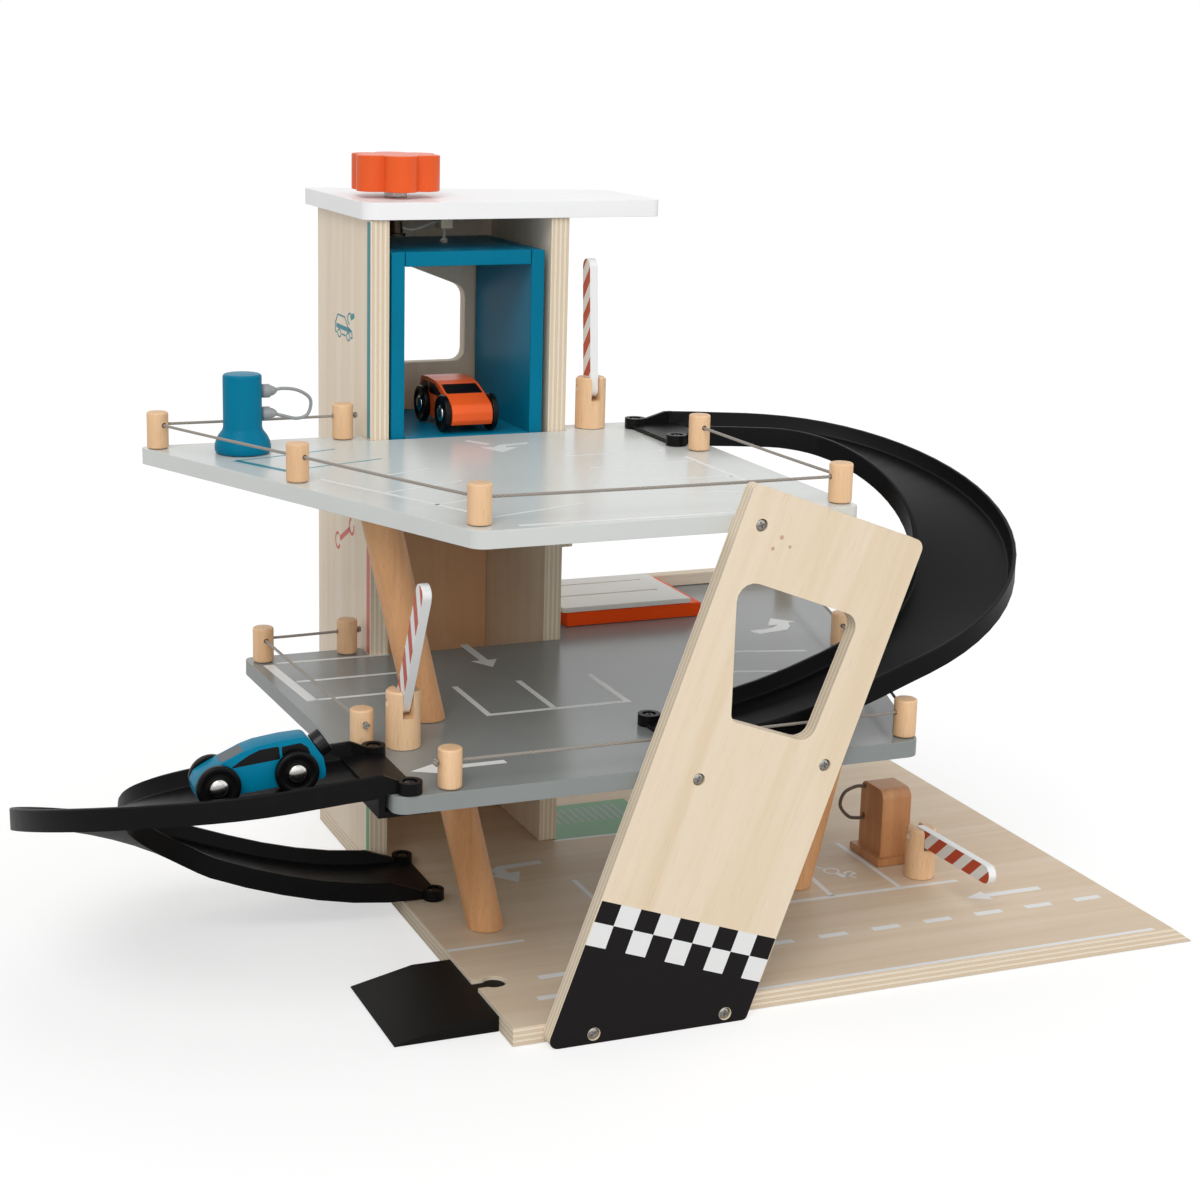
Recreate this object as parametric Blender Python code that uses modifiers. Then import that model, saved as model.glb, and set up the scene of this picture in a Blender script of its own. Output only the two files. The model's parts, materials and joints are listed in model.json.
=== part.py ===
# Toy parking garage in painted wood, with a winch lift, two curved tracks, three barriers and two cars.
# Lengths are written in millimetres, measured from the front left bottom corner of the base board.
import math

import bmesh
import bpy
from mathutils import Matrix, Vector

# Frame: the origin goes to the middle of the base board's underside.
BASE_X = 411.0
BASE_Y = 346.0
BASE_T = 10.0
BASE_SLOPE = 14.0
ORIGIN_X = BASE_X / 2
ORIGIN_Y = BASE_Y / 2

GAP = 0.3
BOARD = 9.0
MID_TOP = 138.2
UP_TOP = 265.6
DECK_BACK = 257.0

# Tower
WALL = 11.0
TOWER_X = 119.9
TOWER_FRONT = 239.3
TOWER_TOP = UP_TOP + 124.4
TOWER_GAP = 0.7
BACK_T = 9.0
ROOF_T = 9.7

# Lift cabin and winch
CABIN_X0 = 12.6
CABIN_X1 = 105.4
CABIN_Y0 = 240.2
CABIN_Y1 = 334.0
CABIN_TOP = TOWER_TOP - 18.0
CABIN_SIDE = 8.0
CABIN_FLOOR_TOP = UP_TOP + 0.4
CABIN_FLOOR_T = 8.0
WINCH_X = 28.2
WINCH_Y = 282.0
SPINDLE_R = 2.5
SPOOL_R = 4.2
FLANGE_R = 6.0
COLLAR_R = 6.7
GUIDE_X = 61.0
GUIDE_Y = 290.0
CORD_R = 0.8
GUIDE_H = 9.0

# Railing posts
POST_R = 6.0
POST_H = 20.2
HOLE_H = 13.2
HOLE_R = 1.7

# Barriers
BAR_POST_R = 9.0
BAR_POST_H = 30.0
ARM_T = 5.0
ARM_W = 11.0
ARM_L = 76.0
PIN_R = 2.0

# Leaning dowels
DOWEL_R = 10.0
LEAN = 0.235
DOWEL_Y = 126.0

# Front panel
PANEL_T = 9.0

# Tracks
TRACK_R = 84.0
TRACK_HALF = 28.5
TRACK_H = 11.2
TRACK_FLOOR = 2.6
EAR_OUT = 29.0
EAR_R = 6.1
EAR_H = 6.0
FALL_LENGTH = math.pi * TRACK_R + 120.0
RIGHT_X = 224.0
RIGHT_Y = 123.0
LEFT_X = -113.0
LEFT_Y = 118.0

# Cars
WHEEL_R = 10.8
WHEELBASE = 38.2
AXLE_R = 1.5
AXLE_BORE = 1.6
TYRE_GAP = 0.45
TYRE_W = 3.6
MAGNET_R = 6.4
MAGNET_L = 5.7

PALETTE = {
    "birch_plywood": ((0.80, 0.70, 0.54), 0.55, 0.0),
    "deck_light_grey": ((0.62, 0.64, 0.62), 0.35, 0.0),
    "deck_mid_grey": ((0.23, 0.24, 0.24), 0.35, 0.0),
    "roof_white": ((0.86, 0.86, 0.86), 0.35, 0.0),
    "beech": ((0.68, 0.45, 0.27), 0.5, 0.0),
    "paint_blue": ((0.0, 0.15, 0.30), 0.3, 0.0),
    "paint_orange": ((0.78, 0.10, 0.02), 0.3, 0.0),
    "paint_black": ((0.02, 0.02, 0.02), 0.4, 0.0),
    "paint_white": ((0.82, 0.84, 0.83), 0.35, 0.0),
    "plastic_black": ((0.015, 0.015, 0.015), 0.45, 0.0),
    "cord_grey": ((0.26, 0.23, 0.21), 0.8, 0.0),
    "cord_brown": ((0.05, 0.04, 0.03), 0.7, 0.0),
}


def clearScene():
    for obj in list(bpy.data.objects):
        bpy.data.objects.remove(obj, do_unlink=True)


def makeCollection(name, hidden):
    made = bpy.data.collections.new(name)
    bpy.context.scene.collection.children.link(made)
    made.hide_render = hidden
    return made


clearScene()
PARTS = makeCollection("toy_parking_garage", False)
CUTTERS = makeCollection("cutters", True)
materials = {}


def material(slot):
    if slot not in materials:
        made = bpy.data.materials.new(slot)
        made.use_nodes = True
        colour, rough, metal = PALETTE[slot]
        shader = made.node_tree.nodes["Principled BSDF"]
        shader.inputs["Base Color"].default_value = (*colour, 1.0)
        shader.inputs["Roughness"].default_value = rough
        shader.inputs["Metallic"].default_value = metal
        made.diffuse_color = (*colour, 1.0)
        materials[slot] = made
    return materials[slot]


def at(x, y, z):
    return Vector(((x - ORIGIN_X) / 1000, (y - ORIGIN_Y) / 1000, z / 1000))


def addObject(name, mesh, slot, origin=None, smooth=False):
    """A node from a mesh that is already in world metres, with its origin where it is asked for."""
    if origin is not None:
        mesh.transform(Matrix.Translation(-origin))
    obj = bpy.data.objects.new(name, mesh)
    if origin is not None:
        obj.location = origin
    PARTS.objects.link(obj)
    mesh.materials.clear()
    mesh.materials.append(material(slot))
    for face in mesh.polygons:
        face.use_smooth = smooth
    return obj


def bakedMesh(obj):
    """The evaluated mesh of an object in world space, with its loose seams welded. The object goes."""
    bpy.context.view_layer.update()
    graph = bpy.context.evaluated_depsgraph_get()
    mesh = bpy.data.meshes.new_from_object(obj.evaluated_get(graph))
    mesh.transform(obj.matrix_world)
    bpy.data.objects.remove(obj, do_unlink=True)
    work = bmesh.new()
    work.from_mesh(mesh)
    bmesh.ops.remove_doubles(work, verts=work.verts, dist=1e-6)
    bmesh.ops.recalc_face_normals(work, faces=work.faces)
    work.to_mesh(mesh)
    work.free()
    return mesh


def holder(data):
    obj = bpy.data.objects.new("work", data)
    CUTTERS.objects.link(obj)
    obj.display_type = "WIRE"
    return obj


def softened(mesh, width, segments=2, angle=40):
    """The mesh with a Bevel on its sharp edges."""
    obj = holder(mesh)
    bevel = obj.modifiers.new("edges", "BEVEL")
    bevel.width = width / 1000
    bevel.segments = segments
    bevel.limit_method = "ANGLE"
    bevel.angle_limit = math.radians(angle)
    bevel.use_clamp_overlap = True
    return bakedMesh(obj)


def combined(mesh, tools, operation="DIFFERENCE"):
    """Booleans of a mesh with a list of meshes, one after the other."""
    obj = holder(mesh)
    helpers = []
    for tool in tools:
        other = holder(tool)
        helpers.append(other)
        step = obj.modifiers.new("cut", "BOOLEAN")
        step.operation = operation
        step.solver = "EXACT"
        step.object = other
    out = bakedMesh(obj)
    for other in helpers:
        bpy.data.objects.remove(other, do_unlink=True)
    return out


def boxMesh(x0, x1, y0, y1, z0, z1):
    work = bmesh.new()
    bmesh.ops.create_cube(work, size=1.0)
    low = at(x0, y0, z0)
    high = at(x1, y1, z1)
    size = high - low
    bmesh.ops.scale(work, vec=size, verts=work.verts)
    bmesh.ops.translate(work, vec=(low + high) / 2, verts=work.verts)
    mesh = bpy.data.meshes.new("box")
    work.to_mesh(mesh)
    work.free()
    return mesh


def rodMesh(start, end, radius, sides=20, radius2=None):
    """A cylinder, or a cone, between two places given in millimetres."""
    a = at(*start)
    b = at(*end)
    work = bmesh.new()
    bmesh.ops.create_cone(
        work,
        cap_ends=True,
        segments=sides,
        radius1=radius / 1000,
        radius2=(radius if radius2 is None else radius2) / 1000,
        depth=(b - a).length,
    )
    turn = (b - a).to_track_quat("Z", "Y").to_matrix().to_4x4()
    bmesh.ops.transform(work, matrix=Matrix.Translation((a + b) / 2) @ turn, verts=work.verts)
    mesh = bpy.data.meshes.new("rod")
    work.to_mesh(mesh)
    work.free()
    return mesh


def ballMesh(centre, radius, u=12, v=8):
    work = bmesh.new()
    bmesh.ops.create_uvsphere(work, u_segments=u, v_segments=v, radius=radius / 1000)
    bmesh.ops.translate(work, vec=at(*centre), verts=work.verts)
    mesh = bpy.data.meshes.new("ball")
    work.to_mesh(mesh)
    work.free()
    return mesh


def turnedMesh(profile, base, sides=24, direction=None):
    """A turned piece: profile is (radius, height) from the top centre, down the outside, to the bottom."""
    mesh = bpy.data.meshes.new("profile")
    points = [(r / 1000, 0.0, h / 1000) for r, h in profile]
    mesh.from_pydata(points, [(i, i + 1) for i in range(len(points) - 1)], [])
    obj = holder(mesh)
    screw = obj.modifiers.new("turn", "SCREW")
    screw.steps = sides
    screw.render_steps = sides
    screw.use_merge_vertices = True
    screw.merge_threshold = 0.00001
    turn = Matrix.Identity(4)
    if direction is not None:
        turn = Vector(direction).to_track_quat("Z", "Y").to_matrix().to_4x4()
    obj.matrix_world = Matrix.Translation(at(*base)) @ turn
    return bakedMesh(obj)


def rounded(points, radii, steps=5):
    """A closed outline with its corners rounded. radii is one value, or one for each corner."""
    if not isinstance(radii, (list, tuple)):
        radii = [radii] * len(points)
    out = []
    count = len(points)
    for i in range(count):
        corner = Vector(points[i])
        before = (Vector(points[i - 1]) - corner).normalized()
        after = (Vector(points[(i + 1) % count]) - corner).normalized()
        if radii[i] <= 0:
            out.append(corner)
            continue
        half = before.angle(after) / 2
        back = radii[i] / math.tan(half)
        centre = corner + (before + after).normalized() * (radii[i] / math.sin(half))
        start = corner + before * back - centre
        sweep = math.pi - 2 * half
        side = 1.0 if (before.x * after.y - before.y * after.x) < 0 else -1.0
        for k in range(steps + 1):
            turn = side * sweep * k / steps
            c, s = math.cos(turn), math.sin(turn)
            out.append(centre + Vector((start.x * c - start.y * s, start.x * s + start.y * c)))
    return [(p.x, p.y) for p in out]


def circle(x, y, r, sides=20):
    turns = [2 * math.pi * i / sides for i in range(sides)]
    return [(x + r * math.cos(a), y + r * math.sin(a)) for a in turns]


def plateMesh(loops, low, high, plane="XY"):
    """A board: flat outlines (the first is the edge, the others are holes) filled and given thickness."""
    curve = bpy.data.curves.new("outline", "CURVE")
    curve.dimensions = "2D"
    curve.fill_mode = "BOTH"
    curve.extrude = (high - low) / 2000
    for loop in loops:
        spline = curve.splines.new("POLY")
        spline.points.add(len(loop) - 1)
        for point, (u, v) in zip(spline.points, loop):
            point.co = (u / 1000, v / 1000, 0.0, 1.0)
        spline.use_cyclic_u = True
    obj = holder(curve)
    middle = (low + high) / 2000
    shift = Vector((-ORIGIN_X / 1000, -ORIGIN_Y / 1000, 0.0))
    if plane == "XY":
        obj.matrix_world = Matrix.Translation(shift + Vector((0, 0, middle)))
    elif plane == "XZ":
        turn = Matrix(((1, 0, 0, 0), (0, 0, -1, 0), (0, 1, 0, 0), (0, 0, 0, 1)))
        obj.matrix_world = Matrix.Translation(shift + Vector((0, middle, 0))) @ turn
    else:
        turn = Matrix(((0, 0, 1, 0), (1, 0, 0, 0), (0, 1, 0, 0), (0, 0, 0, 1)))
        obj.matrix_world = Matrix.Translation(shift + Vector((middle, 0, 0))) @ turn
    return bakedMesh(obj)


def tubeMesh(points, radius, fineness=2):
    """A round cord along places given in millimetres."""
    curve = bpy.data.curves.new("route", "CURVE")
    curve.dimensions = "3D"
    curve.bevel_depth = radius / 1000
    curve.bevel_resolution = fineness
    curve.use_fill_caps = True
    spline = curve.splines.new("POLY")
    spline.points.add(len(points) - 1)
    for point, place in zip(spline.points, points):
        point.co = (*at(*place), 1.0)
    return bakedMesh(holder(curve))


def smoothRoute(points, steps=4):
    """Points along a smooth curve through the given ones."""
    out = []
    count = len(points)
    for i in range(count - 1):
        p0 = Vector(points[max(i - 1, 0)])
        p1 = Vector(points[i])
        p2 = Vector(points[i + 1])
        p3 = Vector(points[min(i + 2, count - 1)])
        for k in range(steps):
            t = k / steps
            place = 0.5 * (
                2 * p1
                + (p2 - p0) * t
                + (2 * p0 - 5 * p1 + 4 * p2 - p3) * t * t
                + (3 * p1 - p0 - 3 * p2 + p3) * t * t * t
            )
            out.append(tuple(place))
    out.append(tuple(points[-1]))
    return out


# Base board, with the jigsaw notch that the ramp's tab drops into.
TAB_Y = 56.0
TAB_X = 10.5
TAB_R = 6.3
NECK = 4.2


def tabOutline(extra):
    """The tab from the neck round its knob, seen from above."""
    radius = TAB_R + extra
    half = NECK + extra
    opening = math.asin(half / radius)
    out = [(0.0, TAB_Y - half)]
    steps = 16
    for k in range(steps + 1):
        angle = -math.pi + opening + (2 * math.pi - 2 * opening) * k / steps
        out.append((TAB_X + radius * math.cos(angle), TAB_Y + radius * math.sin(angle)))
    out.append((0.0, TAB_Y + half))
    return out


notch = tabOutline(0.5)
edge = [(0.0, 0.0), (BASE_X, 0.0), (BASE_X, BASE_Y), (0.0, BASE_Y)]
edge += list(reversed(notch))
board = plateMesh([edge], 0.0, BASE_T)
# The right end is planed to a slope, down to a thin lip at the floor.
LIP = 0.5
steepness = (BASE_T - LIP) / BASE_SLOPE
above = [
    (BASE_X + 4.0, LIP - 4.0 * steepness),
    (BASE_X + 4.0, BASE_T + 4.0),
    (BASE_X - BASE_SLOPE - 3.0, BASE_T + 4.0),
    (BASE_X - BASE_SLOPE - 3.0, BASE_T + 3.0 * steepness),
]
sloped = combined(board, [plateMesh([above], -2.0, BASE_Y + 2.0, "XZ")])
addObject("base_board", sloped, "birch_plywood")

# Ramp: wedge, flat top and the tab, in one piece of wood.
RAMP_Y0 = 19.0
RAMP_Y1 = 94.0
RAMP_TOP = 8.2
rampSide = [(-56.0, 0.0), (-GAP, 0.0), (-GAP, RAMP_TOP), (-22.5, RAMP_TOP), (-56.0, 0.8)]
wedge = plateMesh([[(x, z) for x, z in rampSide]], RAMP_Y0, RAMP_Y1, "XZ")
tab = tabOutline(0.0)
tab[0] = (-6.0, tab[0][1])
tab[-1] = (-6.0, tab[-1][1])
ramp = combined(wedge, [plateMesh([tab], 0.4, RAMP_TOP)], "UNION")
addObject("entry_ramp", ramp, "paint_black")


# Tower
def wallBoard(name, x0, x1):
    addObject(name, boxMesh(x0, x1, TOWER_FRONT, BASE_Y, BASE_T + GAP, TOWER_TOP), "birch_plywood")


wallBoard("tower_left_wall", 0.0, WALL)
wallBoard("tower_right_wall", TOWER_X - WALL, TOWER_X)
backLow = BASE_Y - BACK_T
backEdge = [
    (WALL + GAP, BASE_T + GAP),
    (TOWER_X - WALL - GAP, BASE_T + GAP),
    (TOWER_X - WALL - GAP, TOWER_TOP),
    (WALL + GAP, TOWER_TOP),
]
windowLow = UP_TOP + 28.9
windowSide = windowLow + 45.5
windowPeak = windowLow + 65.5
windowCorners = [(26.0, windowLow), (91.5, windowLow), (91.5, windowSide), (39.0, windowPeak)]
liftWindow = rounded(windowCorners, [7, 7, 9, 7])
addObject("tower_back_wall", plateMesh([backEdge, liftWindow], backLow, BASE_Y, "XZ"), "birch_plywood")

roofLow = TOWER_TOP + GAP
roofHigh = roofLow + ROOF_T
ROOF_CORNERS = [(-4.0, 237.0), (176.5, 237.0), (178.0, 321.0), (-4.0, 364.0)]
roofEdge = rounded(ROOF_CORNERS, [9, 5, 9, 4])
roof = plateMesh([roofEdge, circle(WINCH_X, WINCH_Y, SPINDLE_R + 0.1, 20)], roofLow, roofHigh)
addObject("roof_board", softened(roof, 1.0, 2, 60), "roof_white")

# Winch: a lobed knob on a spindle, whose spool under the roof takes up the lift cord.
KNOB_LOW = roofHigh + 3.8
KNOB_HIGH = KNOB_LOW + 20.5
LOBES = 6
LOBE_RING = 16.5
LOBE_R = 10.0
LOBE_TURN = math.radians(22)


def knobOutline():
    out = []
    steps = 8 * LOBES
    for k in range(steps):
        angle = 2 * math.pi * k / steps
        nearest = round(angle / (2 * math.pi / LOBES)) * 2 * math.pi / LOBES
        off = angle - nearest
        reach = LOBE_RING * math.cos(off) + math.sqrt(LOBE_R**2 - (LOBE_RING * math.sin(off)) ** 2)
        turned = angle + LOBE_TURN
        out.append((WINCH_X + reach * math.cos(turned), WINCH_Y + reach * math.sin(turned)))
    return out


knob = softened(plateMesh([knobOutline()], KNOB_LOW, KNOB_HIGH), 0.8, 2, 60)
spindleTop = KNOB_LOW + 15.0
knobBore = rodMesh((WINCH_X, WINCH_Y, KNOB_LOW - 2), (WINCH_X, WINCH_Y, spindleTop + 0.4), SPINDLE_R + GAP)
knobOrigin = at(WINCH_X, WINCH_Y, KNOB_LOW)
addObject("winch_knob", combined(knob, [knobBore]), "paint_orange", knobOrigin)
spoolTop = TOWER_TOP - 1.2
spoolProfile = [
    (0.0, spindleTop),
    (SPINDLE_R, spindleTop),
    (SPINDLE_R, KNOB_LOW - GAP),
    (COLLAR_R, KNOB_LOW - GAP),
    (COLLAR_R, roofHigh + GAP),
    (SPINDLE_R, roofHigh + GAP),
    (SPINDLE_R, spoolTop),
    (FLANGE_R, spoolTop),
    (FLANGE_R, spoolTop - 1.4),
    (SPOOL_R, spoolTop - 1.8),
    (SPOOL_R, spoolTop - 9.6),
    (FLANGE_R, spoolTop - 10.0),
    (FLANGE_R, spoolTop - 11.4),
    (0.0, spoolTop - 11.4),
]
addObject("winch_spindle", turnedMesh(spoolProfile, (WINCH_X, WINCH_Y, 0), 20), "beech", knobOrigin, True)

# The cord runs from the spool to a guide block under the roof and down to the cabin.
guideLow = TOWER_TOP - GUIDE_H
guide = boxMesh(GUIDE_X - 4, GUIDE_X + 3.2, GUIDE_Y - 6, GUIDE_Y + 6, guideLow, TOWER_TOP)
cordZ = spoolTop - 4.6
guideHoles = [
    rodMesh((GUIDE_X - 8, GUIDE_Y, cordZ), (GUIDE_X, GUIDE_Y, cordZ), 1.4, 12),
    rodMesh((GUIDE_X, GUIDE_Y, guideLow - 3), (GUIDE_X, GUIDE_Y, cordZ + 1.4), 1.4, 12),
]
addObject("cord_guide_block", combined(guide, guideHoles), "beech")
tangent = (WINCH_X, WINCH_Y + SPOOL_R + CORD_R + GAP)
winchRoute = [(tangent[0], tangent[1], cordZ), (GUIDE_X - 6, GUIDE_Y, cordZ), (GUIDE_X, GUIDE_Y, cordZ)]
winchRoute += [(GUIDE_X, GUIDE_Y, guideLow + 0.2)]
addObject("winch_cord", tubeMesh(winchRoute, CORD_R), "cord_grey")
liftCord = tubeMesh([(GUIDE_X, GUIDE_Y, guideLow - 0.1), (GUIDE_X, GUIDE_Y, CABIN_TOP + GAP)], CORD_R)
addObject("lift_cord", liftCord, "cord_grey", at(GUIDE_X, GUIDE_Y, guideLow - 0.1))

# Cabin
floorLow = CABIN_FLOOR_TOP - CABIN_FLOOR_T
cabinOrigin = at((CABIN_X0 + CABIN_X1) / 2, (CABIN_Y0 + CABIN_Y1) / 2, floorLow)
inner0 = CABIN_X0 + CABIN_SIDE
inner1 = CABIN_X1 - CABIN_SIDE
leftSide = boxMesh(CABIN_X0, inner0, CABIN_Y0, CABIN_Y1, floorLow, CABIN_TOP)
addObject("cabin_left_side", softened(leftSide, 0.7), "paint_blue", cabinOrigin.copy())
rightSide = boxMesh(inner1, CABIN_X1, CABIN_Y0, CABIN_Y1, floorLow, CABIN_TOP)
addObject("cabin_right_side", softened(rightSide, 0.7), "paint_blue", cabinOrigin.copy())
top = boxMesh(inner0 + GAP, inner1 - GAP, CABIN_Y0 + 0.2, CABIN_Y1, CABIN_TOP - 8.3, CABIN_TOP)
addObject("cabin_top", softened(top, 0.6), "paint_blue", cabinOrigin.copy())
floor = boxMesh(inner0 + GAP, inner1 - GAP, CABIN_Y0 + 0.2, CABIN_Y1, floorLow, CABIN_FLOOR_TOP)
addObject("cabin_floor", softened(floor, 0.6), "paint_blue", cabinOrigin.copy())

# Decks. Both have a notch that the tower stands in, and the lower one runs on behind it on the right.
notchLeft = -TOWER_GAP
notchRight = TOWER_X + TOWER_GAP
notchFront = TOWER_FRONT - TOWER_GAP
UP_LEFT = -131.0
UP_RIGHT = 182.0
UP_VERTEX = -22.5
upEdge = rounded(
    [
        (UP_LEFT, DECK_BACK),
        (UP_VERTEX, 0.0),
        (UP_RIGHT, 0.0),
        (UP_RIGHT, DECK_BACK),
        (notchRight, DECK_BACK),
        (notchRight, notchFront),
        (notchLeft, notchFront),
        (notchLeft, DECK_BACK),
    ],
    [5, 9, 5, 5, 0, 0, 0, 0],
)
upDeck = plateMesh([upEdge], UP_TOP - BOARD, UP_TOP)
addObject("upper_deck", softened(upDeck, 1.3, 2, 60), "deck_light_grey")
MID_LEFT = -62.2
MID_LEFT_BACK = -71.0
MID_TRACK_EDGE = -64.5
MID_RIGHT = 224.0
MID_SLOPE = 0.341
MID_BACK = BASE_Y
midEdge = rounded(
    [
        (MID_LEFT_BACK, DECK_BACK),
        (MID_LEFT, 0.0),
        (MID_RIGHT, 0.0),
        (MID_RIGHT + MID_SLOPE * MID_BACK, MID_BACK),
        (notchRight, MID_BACK),
        (notchRight, notchFront),
        (notchLeft, notchFront),
        (notchLeft, DECK_BACK),
    ],
    [5, 7, 8, 6, 0, 0, 0, 0],
)
midDeck = plateMesh([midEdge], MID_TOP - BOARD, MID_TOP)
addObject("middle_deck", softened(midDeck, 1.3, 2, 60), "deck_mid_grey")
batten = boxMesh(notchRight, notchRight + 7.5, 243.0, 255.0, 194.0, UP_TOP - BOARD - GAP)
addObject("deck_batten", softened(batten, 0.6), "birch_plywood")
kerbRight = MID_RIGHT + MID_SLOPE * 337.0 - 6.0
kerb = boxMesh(notchRight + 0.3, kerbRight, MID_BACK - BOARD, MID_BACK, MID_TOP + GAP, MID_TOP + GAP + 8.0)
addObject("kerb_strip", kerb, "birch_plywood")

# Railing: turned posts with a cord threaded through them.
UP_POSTS = {
    "tower": (-13.6, 249.0),
    "corner": (-120.3, 249.0),
    "left": (-71.3, 137.5),
    "front": (-16.5, 14.0),
    "right": (UP_RIGHT - POST_R, 11.0),
    "track": (169.4, RIGHT_Y + TRACK_R - EAR_OUT - EAR_R - POST_R - 5.0),
}
MID_POSTS = {
    "wall": (-11.1, 249.0),
    "corner": (-62.0, 246.5),
    "left": (-54.4, 80.0),
    "front": (-32.5, 6.9),
    "right": (220.6, 9.3),
    "side": (276.0, 176.0),
    "back": (317.0, 325.0),
}


def railing(prefix, posts, runs, deckTop, cordNames):
    """Posts with a hole toward each cord that reaches them, and a cord for each run, knotted at both ends."""
    low = deckTop + GAP
    z = low + HOLE_H
    neighbours = {key: [] for key in posts}
    for run in runs:
        for a, b in zip(run, run[1:]):
            neighbours[a].append(posts[b])
            neighbours[b].append(posts[a])
        for end, other in ((run[0], run[1]), (run[-1], run[-2])):
            away = Vector(posts[end]) * 2 - Vector(posts[other])
            neighbours[end].append(tuple(away))
    profile = [(0.0, POST_H), (POST_R - 1.0, POST_H), (POST_R, POST_H - 1.0), (POST_R, 0.0), (0.0, 0.0)]
    for key, (x, y) in posts.items():
        ways = [(Vector(other) - Vector((x, y))).normalized() * (POST_R + 3) for other in neighbours[key]]
        threaded = [(x + ways[0].x, y + ways[0].y, z), (x, y, z), (x + ways[1].x, y + ways[1].y, z)]
        bore = tubeMesh(threaded, HOLE_R, 1)
        body = combined(turnedMesh(profile, (x, y, low), 18), [bore])
        addObject(prefix + "_post_" + key, body, "beech", None, False)
    for run, cordName in zip(runs, cordNames):
        first = Vector(posts[run[0]])
        last = Vector(posts[run[-1]])
        headWay = (first - Vector(posts[run[1]])).normalized() * (POST_R + 2.2)
        tailWay = (last - Vector(posts[run[-2]])).normalized() * (POST_R + 2.2)
        head = first + headWay
        tail = last + tailWay
        route = [(head.x, head.y, z)]
        route += [(posts[key][0], posts[key][1], z) for key in run]
        route += [(tail.x, tail.y, z)]
        knots = [ballMesh((spot.x, spot.y, z), 1.9, 10, 6) for spot in (head, tail)]
        addObject(cordName, combined(tubeMesh(route, CORD_R, 1), knots, "UNION"), "cord_grey")


railing("upper", UP_POSTS, [["tower", "corner", "left", "front", "right", "track"]], UP_TOP, ["upper_cord"])
middleRuns = [["wall", "corner", "left"], ["front", "right", "side", "back"]]
railing("middle", MID_POSTS, middleRuns, MID_TOP, ["middle_cord_left", "middle_cord_right"])


# Leaning dowels, cut level at both ends.
def leaningDowel(name, x, y, low, high, lean):
    rise = high - low
    start = (x - lean * 12, y, low - 12)
    end = (x + lean * (rise + 12), y, high + 12)
    rod = rodMesh(start, end, DOWEL_R, 28)
    cuts = [
        boxMesh(x - 80, x + 80, y - 40, y + 40, low - 40, low),
        boxMesh(x - 80, x + 80, y - 40, y + 40, high, high + 40),
    ]
    addObject(name, combined(rod, cuts), "beech", None, False)


leaningDowel("pillar_lower_left", 32.0, DOWEL_Y, BASE_T + GAP, MID_TOP - BOARD - GAP, -LEAN)
leaningDowel("pillar_lower_right", 224.0, DOWEL_Y, BASE_T + GAP, MID_TOP - BOARD - GAP, LEAN)
leaningDowel("pillar_upper_left", -7.7, 115.0, MID_TOP + GAP, UP_TOP - BOARD - GAP, -LEAN)

# Front panel: a leaning board cut level at the foot, with a window and countersunk screw holes.
panelFront = -GAP - PANEL_T
PANEL_CORNERS = [(13.8, 0.0), (125.1, 0.0), (214.8, 246.8), (117.8, 282.7)]
WINDOW_CORNERS = [(110.0, 236.4), (109.5, 162.5), (154.7, 146.6), (179.8, 210.1)]
panelEdge = rounded(PANEL_CORNERS, [5, 3, 5, 4])
panelWindow = rounded(WINDOW_CORNERS, [9, 5, 8, 8])
panel = plateMesh([panelEdge, panelWindow], panelFront, -GAP, "XZ")
PANEL_SCREWS = [(122.0, 261.4), (93.1, 133.8), (163.9, 133.8), (39.9, 5.2), (113.0, 5.2)]
sinks = []
for sx, sz in PANEL_SCREWS:
    sinks.append(rodMesh((sx, panelFront - 1, sz), (sx, panelFront + 3.0, sz), 3.3, 16))
addObject("front_panel", combined(panel, sinks), "birch_plywood")


# Tracks: a U channel swept along a path that falls as it turns half round.
def smoothStep(t):
    t = min(max(t, 0.0), 1.0)
    return t * t * (3 - 2 * t)


def channelBottom(s, start, fall):
    return start - 4.0 * smoothStep((s + 55.0) / 80.0) - (fall - 4.0) * smoothStep(s / FALL_LENGTH)


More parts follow.
